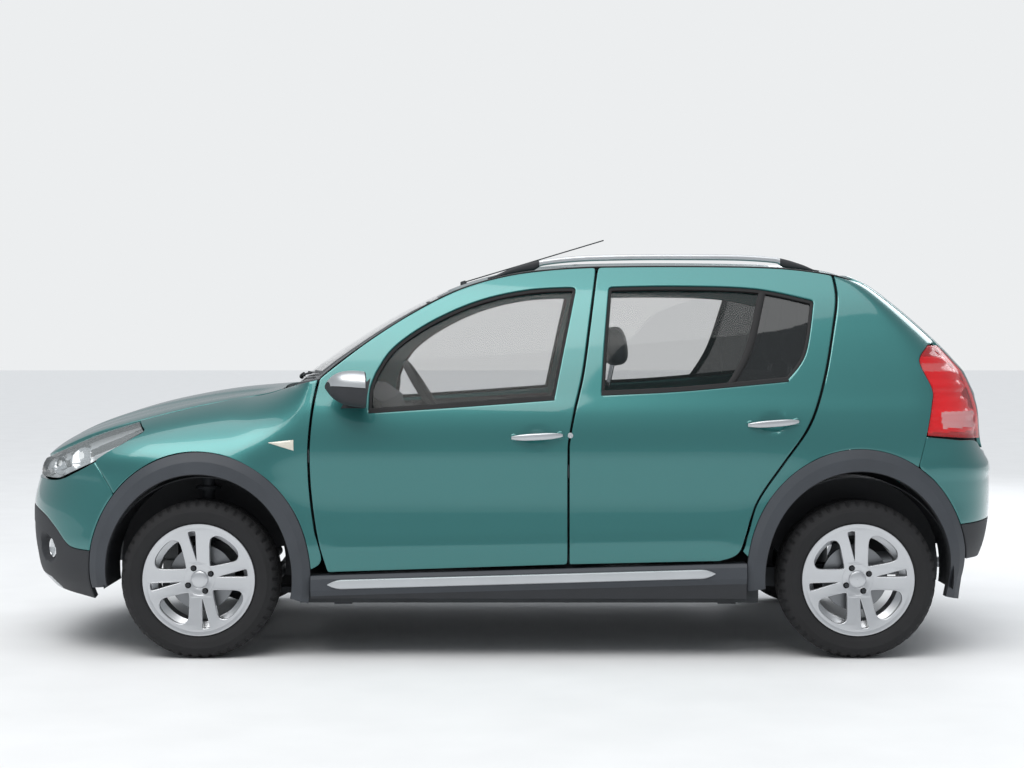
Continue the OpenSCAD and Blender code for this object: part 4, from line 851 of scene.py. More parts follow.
def shell(name, g, inward, mats, body, replaced, flange=14):
    """A panel given as a grid of points, with its rim turned inwards."""
    rows, cols = g.shape[:2]
    rim = rim_of(rows, cols)
    drop = np.zeros((rows, cols))
    drop[[1, -2], :] = drop[:, [1, -2]] = EDGE_STEP * PANEL_EDGE
    drop[[0, -1], :] = drop[:, [0, -1]] = PANEL_EDGE
    inward = np.broadcast_to(np.asarray(inward, float), g.shape)
    skin = g + inward * drop[..., None]
    p = Parts()
    p.grid(skin)
    flat = (g + inward * flange).reshape(-1, 3)[rim]
    p.grid(np.stack([flat, skin.reshape(-1, 3)[rim]]), 0, close_cols=True)
    p.make(name, mats, body, replaced, 40, 1)


def normals_of(g):
    n = np.cross(np.gradient(g, axis=1), np.gradient(g, axis=0))
    return n / np.maximum(1e-9, np.linalg.norm(n, axis=-1, keepdims=True))


c, t = 2 * steps(60, 0.004) - 1, steps(70, 0.003)
C, T = np.meshgrid(c, t)
D = mix(along(ROOF_FRONT, np.abs(C)), GATE_AXIS - SHUT / 2, T)
g = roof_point(D, C)
bead = 3.0 * np.exp(-((np.abs(C) - 0.62) / 0.02) ** 2)
g[..., 2] += bead * smooth01((D - 1100) / 200) * smooth01((2480 - D) / 150)
shell("roof_skin", g, [0, 0, -1], [PAINT], "body", "roof")

strip = Parts()
for a, b in ((474, 1002), (1002, GATE_AXIS - 6)):
    d = np.linspace(a, b, 60)
    ye = side_y(d, gutter_z(d))
    sec = [(-33, -9), (-30, 0.5), (-20, 1.5), (-8, 0.5), (-5.5, -2.5), (-12, -12)]
    strip.tube(np.stack([points(d, ye + dy, gutter_z(d) + dz) for dy, dz in sec], 1)[:, ::-1])
strip.mirrored()
strip.make("gutter_strips", [RUBBER], "body", (), 50)

SCREEN_LINE = [[318, 1078], [406, 1148], [511, 1220], [616, 1287], [721, 1349], [826, 1405], [946.4, 1463.8]]
SCREEN_EDGE = [[462, 1102], [546, 1173], [700, 1284], [856, 1382], [1004.4, 1450.8]]
SCREEN_IN = np.array([0.5, 0, -0.87])


def screen_point(t, c):
    m, e = spline(SCREEN_LINE, t.ravel()), spline(SCREEN_EDGE, t.ravel())
    y = (side_y(e[:, 0] + 6, e[:, 1]) - 30).reshape(t.shape)
    k = np.abs(c) ** 2.2
    m, e = m.reshape(*t.shape, 2), e.reshape(*t.shape, 2)
    return points(mix(m[..., 0], e[..., 0], k), y * c, mix(m[..., 1], e[..., 1], k))


c, t = np.linspace(-1, 1, 61), np.linspace(0, 1, 41)
C, T = np.meshgrid(c, t)
g = screen_point(T, C)
p = Parts()
p.slab(g, g + GLASS_T * SCREEN_IN)
p.make("windscreen_pane", [GLASS], "body", "windscreen", 30, 1)
p = Parts()
inner = g + (GLASS_T + 0.6) * SCREEN_IN
for part in (inner[:4], inner[37:], inner[3:38, :3], inner[3:38, 58:]):
    p.grid(part)
p.make("windscreen_border", [GLOSS], "body", (), 30)

BONNET_EDGE = [[-690, 778], [-600, 818], [-454, 878], [-269, 930], [-35, 987], [234, 1036], [330, 1064]]


def bonnet_rear(c):
    return 300 - 30 * np.maximum(0, 1 - (c / 0.8) ** 2)


def bonnet_point(d, c, depth=0.0):
    ze, zc = along(BONNET_EDGE, d), along(BONNET_LINE, d)
    ye = side_y(d, ze) - SHUT
    return points(d, ye * c, zc - (zc - ze) * np.abs(c) ** 2.3 - depth)


c, t = 2 * steps(64, 0.004) - 1, steps(70, 0.004)
C, T = np.meshgrid(c, t)
D = mix(mix(-706, -684, C * C), bonnet_rear(C), T)
ridge = 5.0 * smooth01((np.abs(C) - mix(0.40, 0.66, T) + 0.05) / 0.1)
ridge = ridge * smooth01((T - 0.04) / 0.2) * smooth01((0.97 - T) / 0.1)
g = bonnet_point(D, C, ridge * smooth01((0.93 - np.abs(C)) / 0.2))
shell("bonnet_skin", g, [0, 0, -1], [PAINT], "bonnet", (), 16)
under = bonnet_point(mix(mix(-690, -668, C * C), bonnet_rear(C) - 6, T), C * 0.985, 21.0)
p = Parts()
p.grid(under[:, ::-1])
p.make("bonnet_inner", [SHELL], "bonnet", "bonnet", 40)

p = Parts()
c = np.linspace(-1, 1, 61)
foot = screen_point(np.zeros_like(c), c) + (GLASS_T + 0.4) * SCREEN_IN
nose = points(bonnet_rear(c) + SHUT, foot[:, 1] * 0.86, 1046)
g = np.stack([mix(nose, foot, x) for x in np.linspace(0, 1, 9)])
g[2:7, :, 2] -= 3
g[3:6, ::2, 2] += 2
p.slab(g, g - [0, 0, 12])
p.make("cowl_panel", [BLACK], "body", "cowl", 40, 1)


# Bumpers
def wrap_d(front, z, edge_d, s):
    if front:
        tip = nose_tip(np.minimum(z, SHOULDER))
        t0 = clamp01((tip + NOSE_L - edge_d) / NOSE_L)
        a = np.arccos(t0 ** (NOSE_N / 2)) * (1 - s)
        return tip + NOSE_L * (1 - np.cos(a) ** (2 / NOSE_N))
    l, tip = along(TAIL_ROUND, z), tail_tip(z)
    t0 = clamp01((edge_d - tip + l) / l)
    a = np.arccos(t0 ** (TAIL_N / 2)) * (1 - s)
    return tip - l * (1 - np.cos(a) ** (2 / TAIL_N))


SPLIT_Z, REAR_SPLIT_Z = float(lip(0, 139)[1]), float(lip(WHEELBASE, 59)[1])


def front_edge(z):
    upper = mix(lip_half(0, SPLIT_Z), -WING_CORNER[0], (z - SPLIT_Z) / (WING_CORNER[1] - SPLIT_Z))
    return -0.8 - np.where(z < SPLIT_Z, lip_half(0, z), upper)


def rear_edge(z):
    lamp_foot, lamp_z = LAMP_FRONT[0]
    upper = mix(r(lip_half(1, REAR_SPLIT_Z)), lamp_foot, (z - REAR_SPLIT_Z) / (lamp_z - REAR_SPLIT_Z))
    return 0.8 + np.where(z < REAR_SPLIT_Z, r(lip_half(1, z)), upper)


def wrapped(front, low, top, nu, nv, gap=1.2):
    """Grid of a bumper from one arch round to the other, between two lines."""
    edge = front_edge if front else rear_edge
    s = np.concatenate([[0, 0.004], np.linspace(0.012, 1, nu)])
    z = []
    for line in (low, top):
        k = np.full_like(s, line[2][1])
        for _ in range(3):
            k = along(line, wrap_d(front, k, edge(k), s))
        z.append(k)
    t = steps(nv, 0.012)
    Z = mix((z[0] + gap)[:, None], (z[1] - gap)[:, None], t[None, :])
    S = np.broadcast_to(s[:, None], Z.shape)
    d = wrap_d(front, Z, edge(Z), S)
    y = np.where(S >= 1, 0, side_y(d, Z))
    half = points(d, y, Z)
    other = half[:-1][::-1] * [1, -1, 1]
    g = np.concatenate([half, other])
    return g if front else g[:, ::-1]


PAINT_LOW_F = [[-800, 575], [-740, 572], [-660, 545], [-600, 500], [-540, 440], [-500, 426], [-400, 422]]
PAINT_TOP_F = [[-800, 684], [-722, 688], [-620, 689], [-570, 699], [-504, 728], [-420, 768], [-350, 800]]
PAINT_LOW_R = [[r(300), 526], [r(450), 528], [r(560), 532], [r(640), 534]]
PAINT_TOP_R = [[r(200), 877], [r(265), 874], [r(400), 860], [r(500), 848], [r(540), 806], [r(580), 802],
               [r(640), 800]]
SKIRT_LOW_F = [[-800, 250], [-700, 244], [-560, 232], [-400, 222]]
SKIRT_LOW_R = [[r(300), 385], [r(450), 385], [r(560), 372], [r(640), 366]]
for name, front, low_l, top_l, mat, node in (
        ("front_bumper_skin", True, PAINT_LOW_F, PAINT_TOP_F, PAINT, "bumpers"),
        ("rear_bumper_skin", False, PAINT_LOW_R, PAINT_TOP_R, PAINT, ()),
        ("front_skirt_skin", True, SKIRT_LOW_F, PAINT_LOW_F, BLACK, "bumper_skirts"),
        ("rear_skirt_skin", False, SKIRT_LOW_R, PAINT_LOW_R, BLACK, ())):
    g = wrapped(front, low_l, top_l, 70, 26)
    n = normals_of(g)
    centre = np.array([200.0 if front else r(-200), 0, 500])
    if ((g - centre) * n).sum() < 0:
        n = -n
    lift = flare(g[..., 0], g[..., 2])
    g = g + n * lift[..., None]
    if name == "front_skirt_skin":
        y, z = g[..., 1], g[..., 2]
        hollow = 42 * smooth01((430 - np.abs(y)) / 40) * smooth01((z - 330) / 30) * smooth01((500 - z) / 30)
        q = np.hypot((np.abs(y) - FOG_Y) / 62, (z - FOG_Z) / 58)
        hollow = hollow + 40 * smooth01((1 - q) / 0.35)
        g = g - n * hollow[..., None]
    if name == "rear_bumper_skin":
        y, z = g[..., 1], g[..., 2]
        g = g + n * (6 * smooth01((z - 700) / 30) * smooth01((790 - z) / 40))[..., None]
    shell(name, g, -n, [mat], "body", node, 22)
    if name == "front_skirt_skin":
        o = bpy.data.objects[name]
        o.data.materials.append(SILVER)
        for f in o.data.polygons:
            d, z = f.center.x * 1000 - SHIFT, f.center.z * 1000
            low, high = float(along(SKIRT_LOW_F, d)), float(along(PAINT_LOW_F, d))
            if 0.03 < (z - low) / (high - low) < 0.17 and abs(f.center.y) < 0.55:
                f.material_index = 1


# Tailgate
GATE_LOW, GATE_GAP, GATE_T = 812, 8, 45
GATE_SIZE = [590, 714]


def gate_top(c):
    y = np.abs(c) * (gate_half(1500.0) - GATE_GAP)
    d = GATE_AXIS + SHUT / 2

    def inside(z):
        return np.where(y < MIDDLE, tail_tip(z) > d, side_y(np.full_like(z, d), z) > y)

    return halve(inside, np.full_like(y, 1300.0), 1578.0)


def gate_point(p, depth=0.0):
    c, v = p[..., 0], p[..., 1]
    z = mix(GATE_LOW, gate_top(c), v)
    y = (gate_half(z) - GATE_GAP) * c
    a = np.radians(48) * clamp01((z - 1000) / 350)
    depth = np.asarray(depth, float)
    return points(tail_d(np.maximum(np.abs(y), 15), z) - depth * np.cos(a), y, z - depth * np.sin(a))


def gate_loop(half, low, top, nu, nv, soft=0):
    u, v = np.linspace(-half, half, nu + 1), np.linspace(low, top, nv + 1)
    p = np.vstack([points(u[:-1], low), points(half, v[:-1]),
                   points(u[::-1][:-1], top), points(-half, v[::-1][:-1])])
    return rounded(p * GATE_SIZE, soft) / GATE_SIZE if soft else p


def gate_inset(loop, mm):
    return inset(loop * GATE_SIZE, mm) / GATE_SIZE


nu, nv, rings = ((60, 44, 26))
rim, hole = gate_loop(1, 0, 1, nu, nv, 5), gate_loop(0.84, 0.46, 0.90, nu, nv, 26)
rows = [gate_point(gate_loop(0.975, 0.012, 0.98, nu, nv, 5), GATE_T * 0.7)]
rows += [gate_point(gate_inset(rim, q), dep) for q, dep in ((0, 14), (0, 3), (0.9, 0.9), (3, 0))]
a, b = gate_inset(rim, 3), gate_inset(hole, -3)
for k in range(1, rings):
    q = mix(a, b, k / rings)
    z = mix(GATE_LOW, 1500, q[:, 1])
    across = np.abs(q[:, 0])
    fold = 5 * np.exp(-((z - 1000 - 40 * across ** 2) / 22) ** 2) * smooth01((1 - across) / 0.2)
    rows.append(gate_point(q, -fold))
rows += [gate_point(gate_inset(hole, q), dep) for q, dep in ((-3, 0), (-0.9, 0.9), (0, 3), (0, 20))]
for k in range(6):
    q = mix(hole, gate_loop(0.96, 0.02, 0.975, nu, nv, 5), k / 6)
    rows.append(gate_point(q, GATE_T))
p = Parts()
p.grid(np.stack(rows)[:, ::-1], 0, True, True)
p.make("tailgate_shell", [PAINT], "tailgate", "tailgate", 40, 1)
u, v = np.linspace(0, 1, nu + 1), np.linspace(0, 1, nv + 1)
g = coons(gate_inset(hole, 0.8), u, v)
p = Parts()
p.slab(gate_point(g, 12)[:, ::-1], gate_point(g, 17)[:, ::-1])
p.make("tailgate_pane", [GLASS], "tailgate", "tailgate_glass", 30, 1)
p = Parts()
sec = [(-1, 9), (1, 5), (10, 6), (12, 11.6), (2, 11.6)]
p.grid(np.stack([gate_point(gate_inset(hole, q), dep) for q, dep in sec])[:, ::-1], 0, True, True)
t = np.linspace(-0.17, 0.17, 24)
p.tube(np.stack([gate_point(points(t, 0.945 + dv), dd)
                 for dv, dd in ((-0.008, 2), (-0.008, -1.5), (0.008, -1.5), (0.008, 2))], 1), 1)
w = points(np.linspace(0.02, 0.56, 24), np.linspace(0.487, 0.53, 24))
p.tube(tube_path(gate_point(w, 4), np.interp(np.linspace(0, 1, 24), [0, 0.1, 1], [9, 6, 4]), 10))
p.tube(tube_path(gate_point(points(np.linspace(0.16, 0.62, 20), 0.505), 8), 4, 8))
hand = points(np.linspace(-0.30, 0.30, 40), 0.20)
section = ((-0.022, 4), (-0.02, -7), (0.006, -9), (0.022, -3), (0.024, 4))
p.tube(np.stack([gate_point(hand + [0, dv], dd) for dv, dd in section], 1), 2)
p.make("tailgate_trim", [RUBBER, RED, BLACK], "tailgate", (), 45)

# Lamps and grille
HEAD_LOW = [[-722, 697], [-690, 696], [-655, 695], [-620, 696], [-587, 700], [-554, 714], [-521, 728],
            [-470, 751]]
HEAD_LOW += [mix(WING_CORNER, WING_TIP, i / 4) for i in range(5)]
HEAD_HIGH = [[-716, 756], [-660, 782], [-590, 810], [-454, 866], [-360, 898], WING_HEAD - [0, 3]]
HEAD_REAR = [mix(WING_TIP, WING_HEAD - [0, 3], i / 4) for i in range(5)]
HEAD_FRONT = [[-722, 697], [-724, 730], [-716, 756]]


def lamp(name, edges, nu, nv, inner, picker, mats, replaced, lens, depth=24.0):
    """Clear cover over a shaped bowl, with a rim between them."""
    u, v = np.linspace(0, 1, nu + 1), np.linspace(0, 1, nv + 1)
    loop = rounded(inset(loop_of(*edges, u, v), 1.4), 4)
    g = coons(loop, u, v)
    p = Parts()
    p.slab(on_side(g, 0)[:, ::-1], on_side(g, 3)[:, ::-1])
    p.mirrored()
    p.make(f"{name}_lens", [lens], "body", replaced, 40, 1)
    p = Parts()
    bowl = on_side(g, depth - inner(g[..., 0], g[..., 1]))
    p.grid(bowl[:, ::-1])
    rim = rim_of(*g.shape[:2])
    flat = g.reshape(-1, 2)[rim]
    p.grid(np.stack([on_side(flat, depth), on_side(flat, 3.2)])[:, ::-1], 0, close_cols=True)
    cells = len(quads(*g.shape[:2]))
    q = np.concatenate(p.v)
    p.m = [picker(*q[list(f)].mean(0)[[0, 2]]) if i < cells else 0 for i, f in enumerate(p.f)]
    p.mirrored()
    p.make(f"{name}_bowl", mats, "body", (), 40, 1)


# Headlamp bowls: station, height and radius.
BOWLS = ((-500, 788, 46), (-608, 752, 38))


def head_inner(d, z):
    out = 0 * d
    for c, h, rad in BOWLS:
        q = np.hypot(d - c, z - h) / rad
        out = out - 16 * (1 - np.minimum(1, q) ** 2) * (q < 1) + 5 * np.exp(-((q - 1.06) / 0.08) ** 2)
    return out + 3 * np.exp(-((z - 735 - (d + 600) * 0.42) / 5) ** 2)


def head_pick(d, z):
    for c, h, rad in BOWLS:
        q = math.hypot(d - c, z - h) / rad
        if q < 0.3:
            return 2
        if q < 1.12:
            return 1
    return 0 if abs(z - 735 - (d + 600) * 0.42) < 16 else 3


lamp("headlamps", (HEAD_LOW, HEAD_REAR, HEAD_HIGH, HEAD_FRONT), 110, 36, head_inner, head_pick,
     [GLOSS, CHROME, WHITE, SILVER], "headlamps", LENS)


def tail_rear(n):
    return [gate_edge(mix(856, 1232, i / n)) for i in range(n + 1)]


def tail_pick(d, z):
    if z > 1186 or z < 890:
        return 1
    if 1128 < z < 1160:
        return 2
    if 905 < z < 970 and d > r(330):
        return 3
    return 0


def tail_inner(d, z):
    return 3.0 * np.cos(z / 9.0) - 9 * np.exp(-((z - 1030) / 40) ** 2)


tail_edge = tail_rear(8)
tail_low, tail_high = [[lamp_edge[i], mix(lamp_edge[i], tail_edge[i], 0.5), tail_edge[i]] for i in (0, 8)]
lamp("tail_lamps", (tail_low, tail_edge, tail_high, LAMP_FRONT), 44, 70, tail_inner, tail_pick,
     [RED, DEEP_RED, PINK, WHITE], "tail_lamps", glass_material("red_lens", "#e0161f", 0.25), 14.0)


def lamp_inner_y(z):
    return side_y(along([[p[1], p[0]] for p in HEAD_FRONT], z), z)


p = Parts()
zs, ys = np.linspace(692, 760, 16), np.linspace(-1, 1, 61)
Y, Z = np.meshgrid(ys, zs)
Yh = Y * (lamp_inner_y(np.maximum(Z, 697)) - 20)
base = points(nose_across(Yh, Z) + 24, Yh, Z)
p.grid(base, 0)
for z0, tall in ((698, 6), (712, 4.5), (726, 4.5), (740, 4.5), (754, 6)):
    half = float(lamp_inner_y(max(z0, 697))) - 21
    y = np.linspace(-half, half, 61)
    d = nose_across(y, np.full_like(y, z0)) + 5
    section = ((0, -tall * 0.6), (-2, 0), (0, tall * 0.6), (14, tall), (14, -tall))
    p.tube(np.stack([points(d + dx, y, z0 + dz) for dx, dz in section], 1), 1)
p.make("grille_slats", [GLOSS, BLACK], "body", "grille", 35, 1)

# Cladding, strips and bars
p = Parts()
for c in (0, WHEELBASE):
    a = np.linspace(-13, 187, 121)
    inner_edge, out = arch(c, a), lip(c, a, 0.6)
    stations = [(0.0, -34), (0.0, 8), (0.035, 12), (0.58, 12.5), (0.62, 11.5), (0.97, 2.5), (1.0, -1),
                (0.5, -18)]
    sec = []
    for f, dy in stations:
        q = mix(inner_edge, out, f)
        out_y = side_y(q[:, 0], np.maximum(q[:, 1], 250)) + dy + flare(q[:, 0], q[:, 1])
        sec.append(points(q[:, 0], out_y, q[:, 1]))
    for k in range(len(sec)):
        following = sec[(k + 1) % len(sec)]
        p.grid(np.stack([sec[k], following], 1), 1 if k in (2, 3, 4, 5) else 0)
    cap = tuple(range(len(sec)))
    p.add(np.stack([x[0] for x in sec]), [cap[::-1]])
    p.add(np.stack([x[-1] for x in sec]), [cap])
d = np.linspace(LIP_W, r(-LIP_W), 81)


def sill_z(d):
    return mix(340, 384, (d - 505) / 1535) - 8


sill_top = sill_z(d)
y = side_y(d, sill_top)
flared = flare(d, sill_top)
SILL_IN, SILL_FOOT = 780, 240
sec = [points(d, SILL_IN, sill_top)]
sec += [points(d, y + dy + flared, sill_top + dz)
        for dy, dz in ((1, 0), (4, -1), (12, -14), (12.5, -36), (12, -58), (2, -80))]
sec += [points(d, y - 6 + flared, SILL_FOOT), points(d, SILL_IN, SILL_FOOT)]
for k in range(len(sec)):
    p.grid(np.stack([sec[k], sec[(k + 1) % len(sec)]], 1), 1 if k < 6 else 0)
p.mirrored()
p.make("side_cladding_skin", [BLACK, CLAD], "body", "side_cladding", 32, 1)
p = Parts()
d = np.linspace(505, r(-562), 81)
sill_top = sill_z(d)
y = side_y(d, sill_top) + 12 + flare(d, sill_top)
end = 1 - np.maximum(0, 1 - np.minimum(d - 505, r(-562) - d) / 60) ** 2
section = ((0, 19), (5, 18), (8, 15), (8.6, 0), (8, -15), (5, -18), (0, -19))
sec = [points(d, y + dy * end, sill_top - 36 + dz * end) for dy, dz in section]
p.tube(np.stack(sec, 1))
p.mirrored()
p.make("sill_strips_skin", [SILVER], "body", "sill_strips", 40, 1)

# Height of the roof bars above the gutter.
RAIL = [[1130, 4], [1240, 30], [1360, 44], [1480, 48], [1900, 50], [r(-300), 46], [r(-180), 26], [r(-110), 4]]
p = Parts()
d = np.concatenate([np.linspace(1130, 1360, 24), np.linspace(1380, r(-320), 60),
                    np.linspace(r(-300), r(-110), 24)])
foot = roof_point(d, np.full_like(d, 0.93))
top = np.maximum(gutter_z(d) + along(RAIL, d), foot[:, 2] + 6.5)
grip = np.clip(np.maximum((1345 - d) / 25, (d - r(-275)) / 25), 0, 1)
low = mix(top - 24, foot[:, 2] + 0.6, grip)
half = mix(13.0, 16.0, grip)
ring = []
for k in full_turn(16) + np.pi / 16:
    cy, cz = squared(np.cos(k), 0.6), squared(np.sin(k), 0.6)
    zz = (top + low) / 2 + cz * (top - low) / 2
    yy = foot[:, 1] + half * cy * mix(1, 0.8, clamp01(cz))
    ring.append(points(d, yy, zz - 0.11 * half * cy * grip * (cz < 0)))
p.tube(np.stack(ring, 1)[:, ::-1])
v = np.concatenate(p.v)
p.m = [0 if 1336 <= v[list(f), 0].mean() <= r(-266) else 1 for f in p.f]
p.mirrored()
p.make("roof_bars", [SILVER, BLACK], "body", "roof_rails", 40, 1)


# Wheels
# Outlines of one slot and one window of the wheel's face, along the spoke and across it.
SLOT = [[70, -3], [130, -10], [186, -18], [194, -15], [196, 0], [194, 15], [186, 18], [130, 10], [70, 3]]
OPENING = [[66, -5], [66, 5], [112, 42], [146, 68], [166, 68], [184, 54], [192, 30], [194, 0], [192, -30],
           [184, -54], [166, -68], [146, -68], [112, -42]]
BOLT_TURN = 27


def face_outline():
    """Outer edge, four slots and four windows of the wheel's face."""
    a = full_turn(120)
    loops = [points(rad * np.cos(a), rad * np.sin(a)) for rad in (205, 62)]

    def soft(p, times=3):
        p = np.asarray(p, float)
        for _ in range(times):
            q = np.roll(p, -1, 0)
            p = np.stack([0.75 * p + 0.25 * q, 0.25 * p + 0.75 * q], 1).reshape(-1, 2)
        return p

    for k in range(4):
        for turn, shape in ((8.5 + 90 * k, SLOT), (51 + 90 * k, OPENING)):
            t = math.radians(turn)
            m = np.array([[math.cos(t), math.sin(t)], [-math.sin(t), math.cos(t)]])
            loops.append(soft(shape) @ m)
    return loops


def wheel_face():
    cu = bpy.data.curves.new("wheel_face", "CURVE")
    cu.dimensions = "2D"
    cu.fill_mode = "BOTH"
    cu.extrude = 0.009
    cu.bevel_depth = 0.0032
    cu.bevel_resolution = 2
    for loop in face_outline():
        s = cu.splines.new("POLY")
        s.points.add(len(loop) - 1)
        for pt, q in zip(s.points, loop):
            pt.co = (q[0] / 1000, q[1] / 1000, 0, 1)
        s.use_cyclic_u = True
    o = bpy.data.objects.new("wheel_face", cu)
    bpy.context.collection.objects.link(o)
    dg = bpy.context.evaluated_depsgraph_get()
    m = bpy.data.meshes.new_from_object(o.evaluated_get(dg))
    v = np.empty(len(m.vertices) * 3)
    m.vertices.foreach_get("co", v)
    faces = [tuple(f.vertices) for f in m.polygons]
    bpy.data.objects.remove(o)
    bpy.data.curves.remove(cu)
    v = v.reshape(-1, 3) * 1000
    rad = np.hypot(v[:, 0], v[:, 1])
    v[:, 2] += np.interp(rad, [0, 40, 60, 120, 178, 200], [53, 55, 58, 65, 71, 73])
    return v, faces


FACE_V, FACE_F = wheel_face()
RIM_R = 203


def wheel(body, c, side):
    n = 72
    p = Parts()
    prof = [(RIM_R + 18, 86), (RIM_R + 17, 88), (RIM_R + 9, 88), (RIM_R - 2, 84), (RIM_R - 6, 74),
            (RIM_R - 8, 50), (RIM_R - 32, 34), (RIM_R - 32, -34), (RIM_R - 8, -52), (RIM_R - 6, -72),
            (RIM_R + 8, -88), (RIM_R + 18, -88), (RIM_R + 18, -81), (RIM_R + 4, -76), (RIM_R, -52),
            (RIM_R - 24, -30), (RIM_R - 24, 30), (RIM_R, 45), (RIM_R + 4, 76), (RIM_R + 18, 81)]
    p.grid(lathe(prof, c, n)[:, ::-1], 0, close_rows=True, close_cols=True)
    p.add(points(FACE_V[:, 0] + c[0], FACE_V[:, 2] + c[1], FACE_V[:, 1] + c[2]), [f[::-1] for f in FACE_F], 0)
    centre = [(62, 56), (61.6, 68.6), (60, 70.4), (38, 69.4), (35, 67), (33.5, 66.6), (33, 69), (31, 71),
              (20, 73), (8, 73.8), (0.5, 74)]
    p.grid(lathe(centre, c, 72), 0, close_cols=True)
    hub = [(70, 8), (76, 22), (74, 40), (40, 46), (28, 46), (28, 9)]
    p.grid(lathe(hub, c, 40), 3, close_cols=True)
    rotor = [(34, 20), (66, 18), (72, 9), (129, 9), (130, 8), (130, -5), (129, -6), (34, -6)]
    p.grid(lathe(rotor, c, n), 2, close_cols=True)
    for k in range(4):
        t = math.radians(BOLT_TURN + 90 * k)
        b = (c[0] + 50 * math.cos(t), c[1], c[2] + 50 * math.sin(t))
        # Gloss-black ring round each bolt: painted shade of the recess the bolt sits in.
        p.grid(lathe([(12.5, 66), (12.5, 70.8), (11.2, 71.6), (10, 70.9), (0.5, 70.7)], b, 24), 1,
               close_cols=True)
        p.grid(lathe([(7.8, 70.4), (7.8, 74.6), (6.8, 75.4), (0.5, 75.6)], b, 6, phase=t), 3, close_cols=True)
    p.make(f"{body}_alloy", [ALLOY, GLOSS, DISC, STEEL], body, body, 38, side)


def tyre(node, body, c, side):
    n = 288
    ro = AXLE_Z
    side_wall = [(RIM_R + 2, 60), (RIM_R + 5, 76), (RIM_R + 18, 81.5), (RIM_R + 24, 86), (RIM_R + 27, 90),
                 (RIM_R + 29, 90.2), (RIM_R + 31, 91.5), (RIM_R + 46, 95.5), (RIM_R + 62, 97.2),
                 (RIM_R + 64, 98), (RIM_R + 67, 98), (RIM_R + 69, 97), (ro - 34, 94.5), (ro - 22, 90.5)]
    tread = [(ro - 15, 85.5, 1), (ro - 9.5, 79, 1), (ro - 5, 72, 1), (ro - 1.6, 60, 1), (ro - 0.8, 53, 0),
             (ro - 8, 52, 0), (ro - 8, 46, 0), (ro - 0.5, 45, 0), (ro, 30, 2), (ro, 21, 0), (ro - 8, 20, 0),
             (ro - 8, 13, 0), (ro, 12, 0), (ro, 4, 3)]
    half = [(a, b, 0) for a, b in side_wall] + tread
    full = half + [(a, -b, k) for a, b, k in half[::-1]]
    prof = np.array([(a, b) for a, b, _ in full], float)
    kind = np.array([k for _, _, k in full])
    g = lathe(prof, c, n)
    t = np.arange(n)
    for row, k in enumerate(kind):
        if k:
            cut = ((t + (3 if prof[row, 1] < 0 else 0)) % 6 < 2) if k == 1 else ((t + 2 * k) % 8 < 1)
            f = np.where(cut, (prof[row, 0] - 6) / prof[row, 0], 1.0)
            g[row, :, 0] = c[0] + (g[row, :, 0] - c[0]) * f
            g[row, :, 2] = c[2] + (g[row, :, 2] - c[2]) * f
    p = Parts()
    p.grid(g[:, ::-1], 0, close_rows=True, close_cols=True)
    p.make(f"{node}_tread", [TYRE], body, node, 30, side)


for end, axle in (("front", 0), ("rear", WHEELBASE)):
    for name, side in SIDES.items():
        centre = (axle, HALF_TRACK, AXLE_Z)
        wheel(f"wheel_{end}_{name}", centre, side)
        tyre(f"tyre_{end}_{name}", f"wheel_{end}_{name}", centre, side)


# Seats
def pillow(n):
    """Points and faces of a cube's surface, welded along its edges."""
    t = np.linspace(-1, 1, n + 1)
    index, verts, faces = {}, [], []

    def at(q):
        k = tuple(np.round(q, 6))
        if k not in index:
            index[k] = len(verts)
            verts.append(q)
        return index[k]

    for axis in range(3):
        for s in (-1, 1):
            for i in range(n):
                for j in range(n):
                    quad = []
                    for a, b in ((i, j), (i + 1, j), (i + 1, j + 1), (i, j + 1)):
                        q = np.zeros(3)
                        q[axis], q[(axis + 1) % 3], q[(axis + 2) % 3] = s, t[a], t[b]
                        quad.append(at(q))
                    faces.append(tuple(quad if s > 0 else quad[::-1]))
    return np.array(verts), faces


PILLOW_V, PILLOW_F = pillow(20)


def cushion(name, centre, size, tilt, y, seams=(), bolster=0.0, crown=10.0, soft=5.0, mat=FABRIC,
            replaced=()):
    """Stuffed form: crowned faces, sides drawn in between the corners, sewn channels along it."""
    q = PILLOW_V.copy()
    q = q * (np.abs(q).max(1) / (np.abs(q) ** soft).sum(1) ** (1 / soft))[:, None]
    h = np.asarray(size, float) / 2
    top = smooth01((q[:, 2] - 0.2) / 0.6)
    v = q * h
    v[:, 2] += np.sign(q[:, 2]) * crown * (1 - q[:, 0] ** 2) * (1 - q[:, 1] ** 2)
    v[:, 0] *= 1 - 0.03 * (1 - q[:, 1] ** 2)
    v[:, 1] *= 1 - 0.025 * (1 - q[:, 0] ** 2)
    v[:, 2] += bolster * smooth01((np.abs(q[:, 1]) - 0.55) / 0.3) * top
    for s in seams:
        v[:, 2] -= 6 * np.exp(-((np.abs(q[:, 1]) - s) / 0.035) ** 2) * top
    v[:, 2] -= 3.5 * np.exp(-((q[:, 0] - 0.1) / 0.05) ** 2) * top * (np.abs(q[:, 1]) < 0.55)
    a = math.radians(tilt)
    x, z = v[:, 0] * math.cos(a) - v[:, 2] * math.sin(a), v[:, 0] * math.sin(a) + v[:, 2] * math.cos(a)
    placed = points(x + centre[0], v[:, 1] + y, z + centre[1])
    o = mesh_object(name, placed, PILLOW_F, mat, "body", replaced, 70, 1)


def posts(name, y, apart, foot, head, n):
    """Two steel posts of a headrest."""
    p = Parts()
    for k in (-apart, apart):
        path = points(np.linspace(foot[0], head[0], n), y + k, np.linspace(foot[1], head[1], n))
        p.tube(tube_path(path, 6.5, 12))
    p.make(name, [CHROME], "body", (), 40)


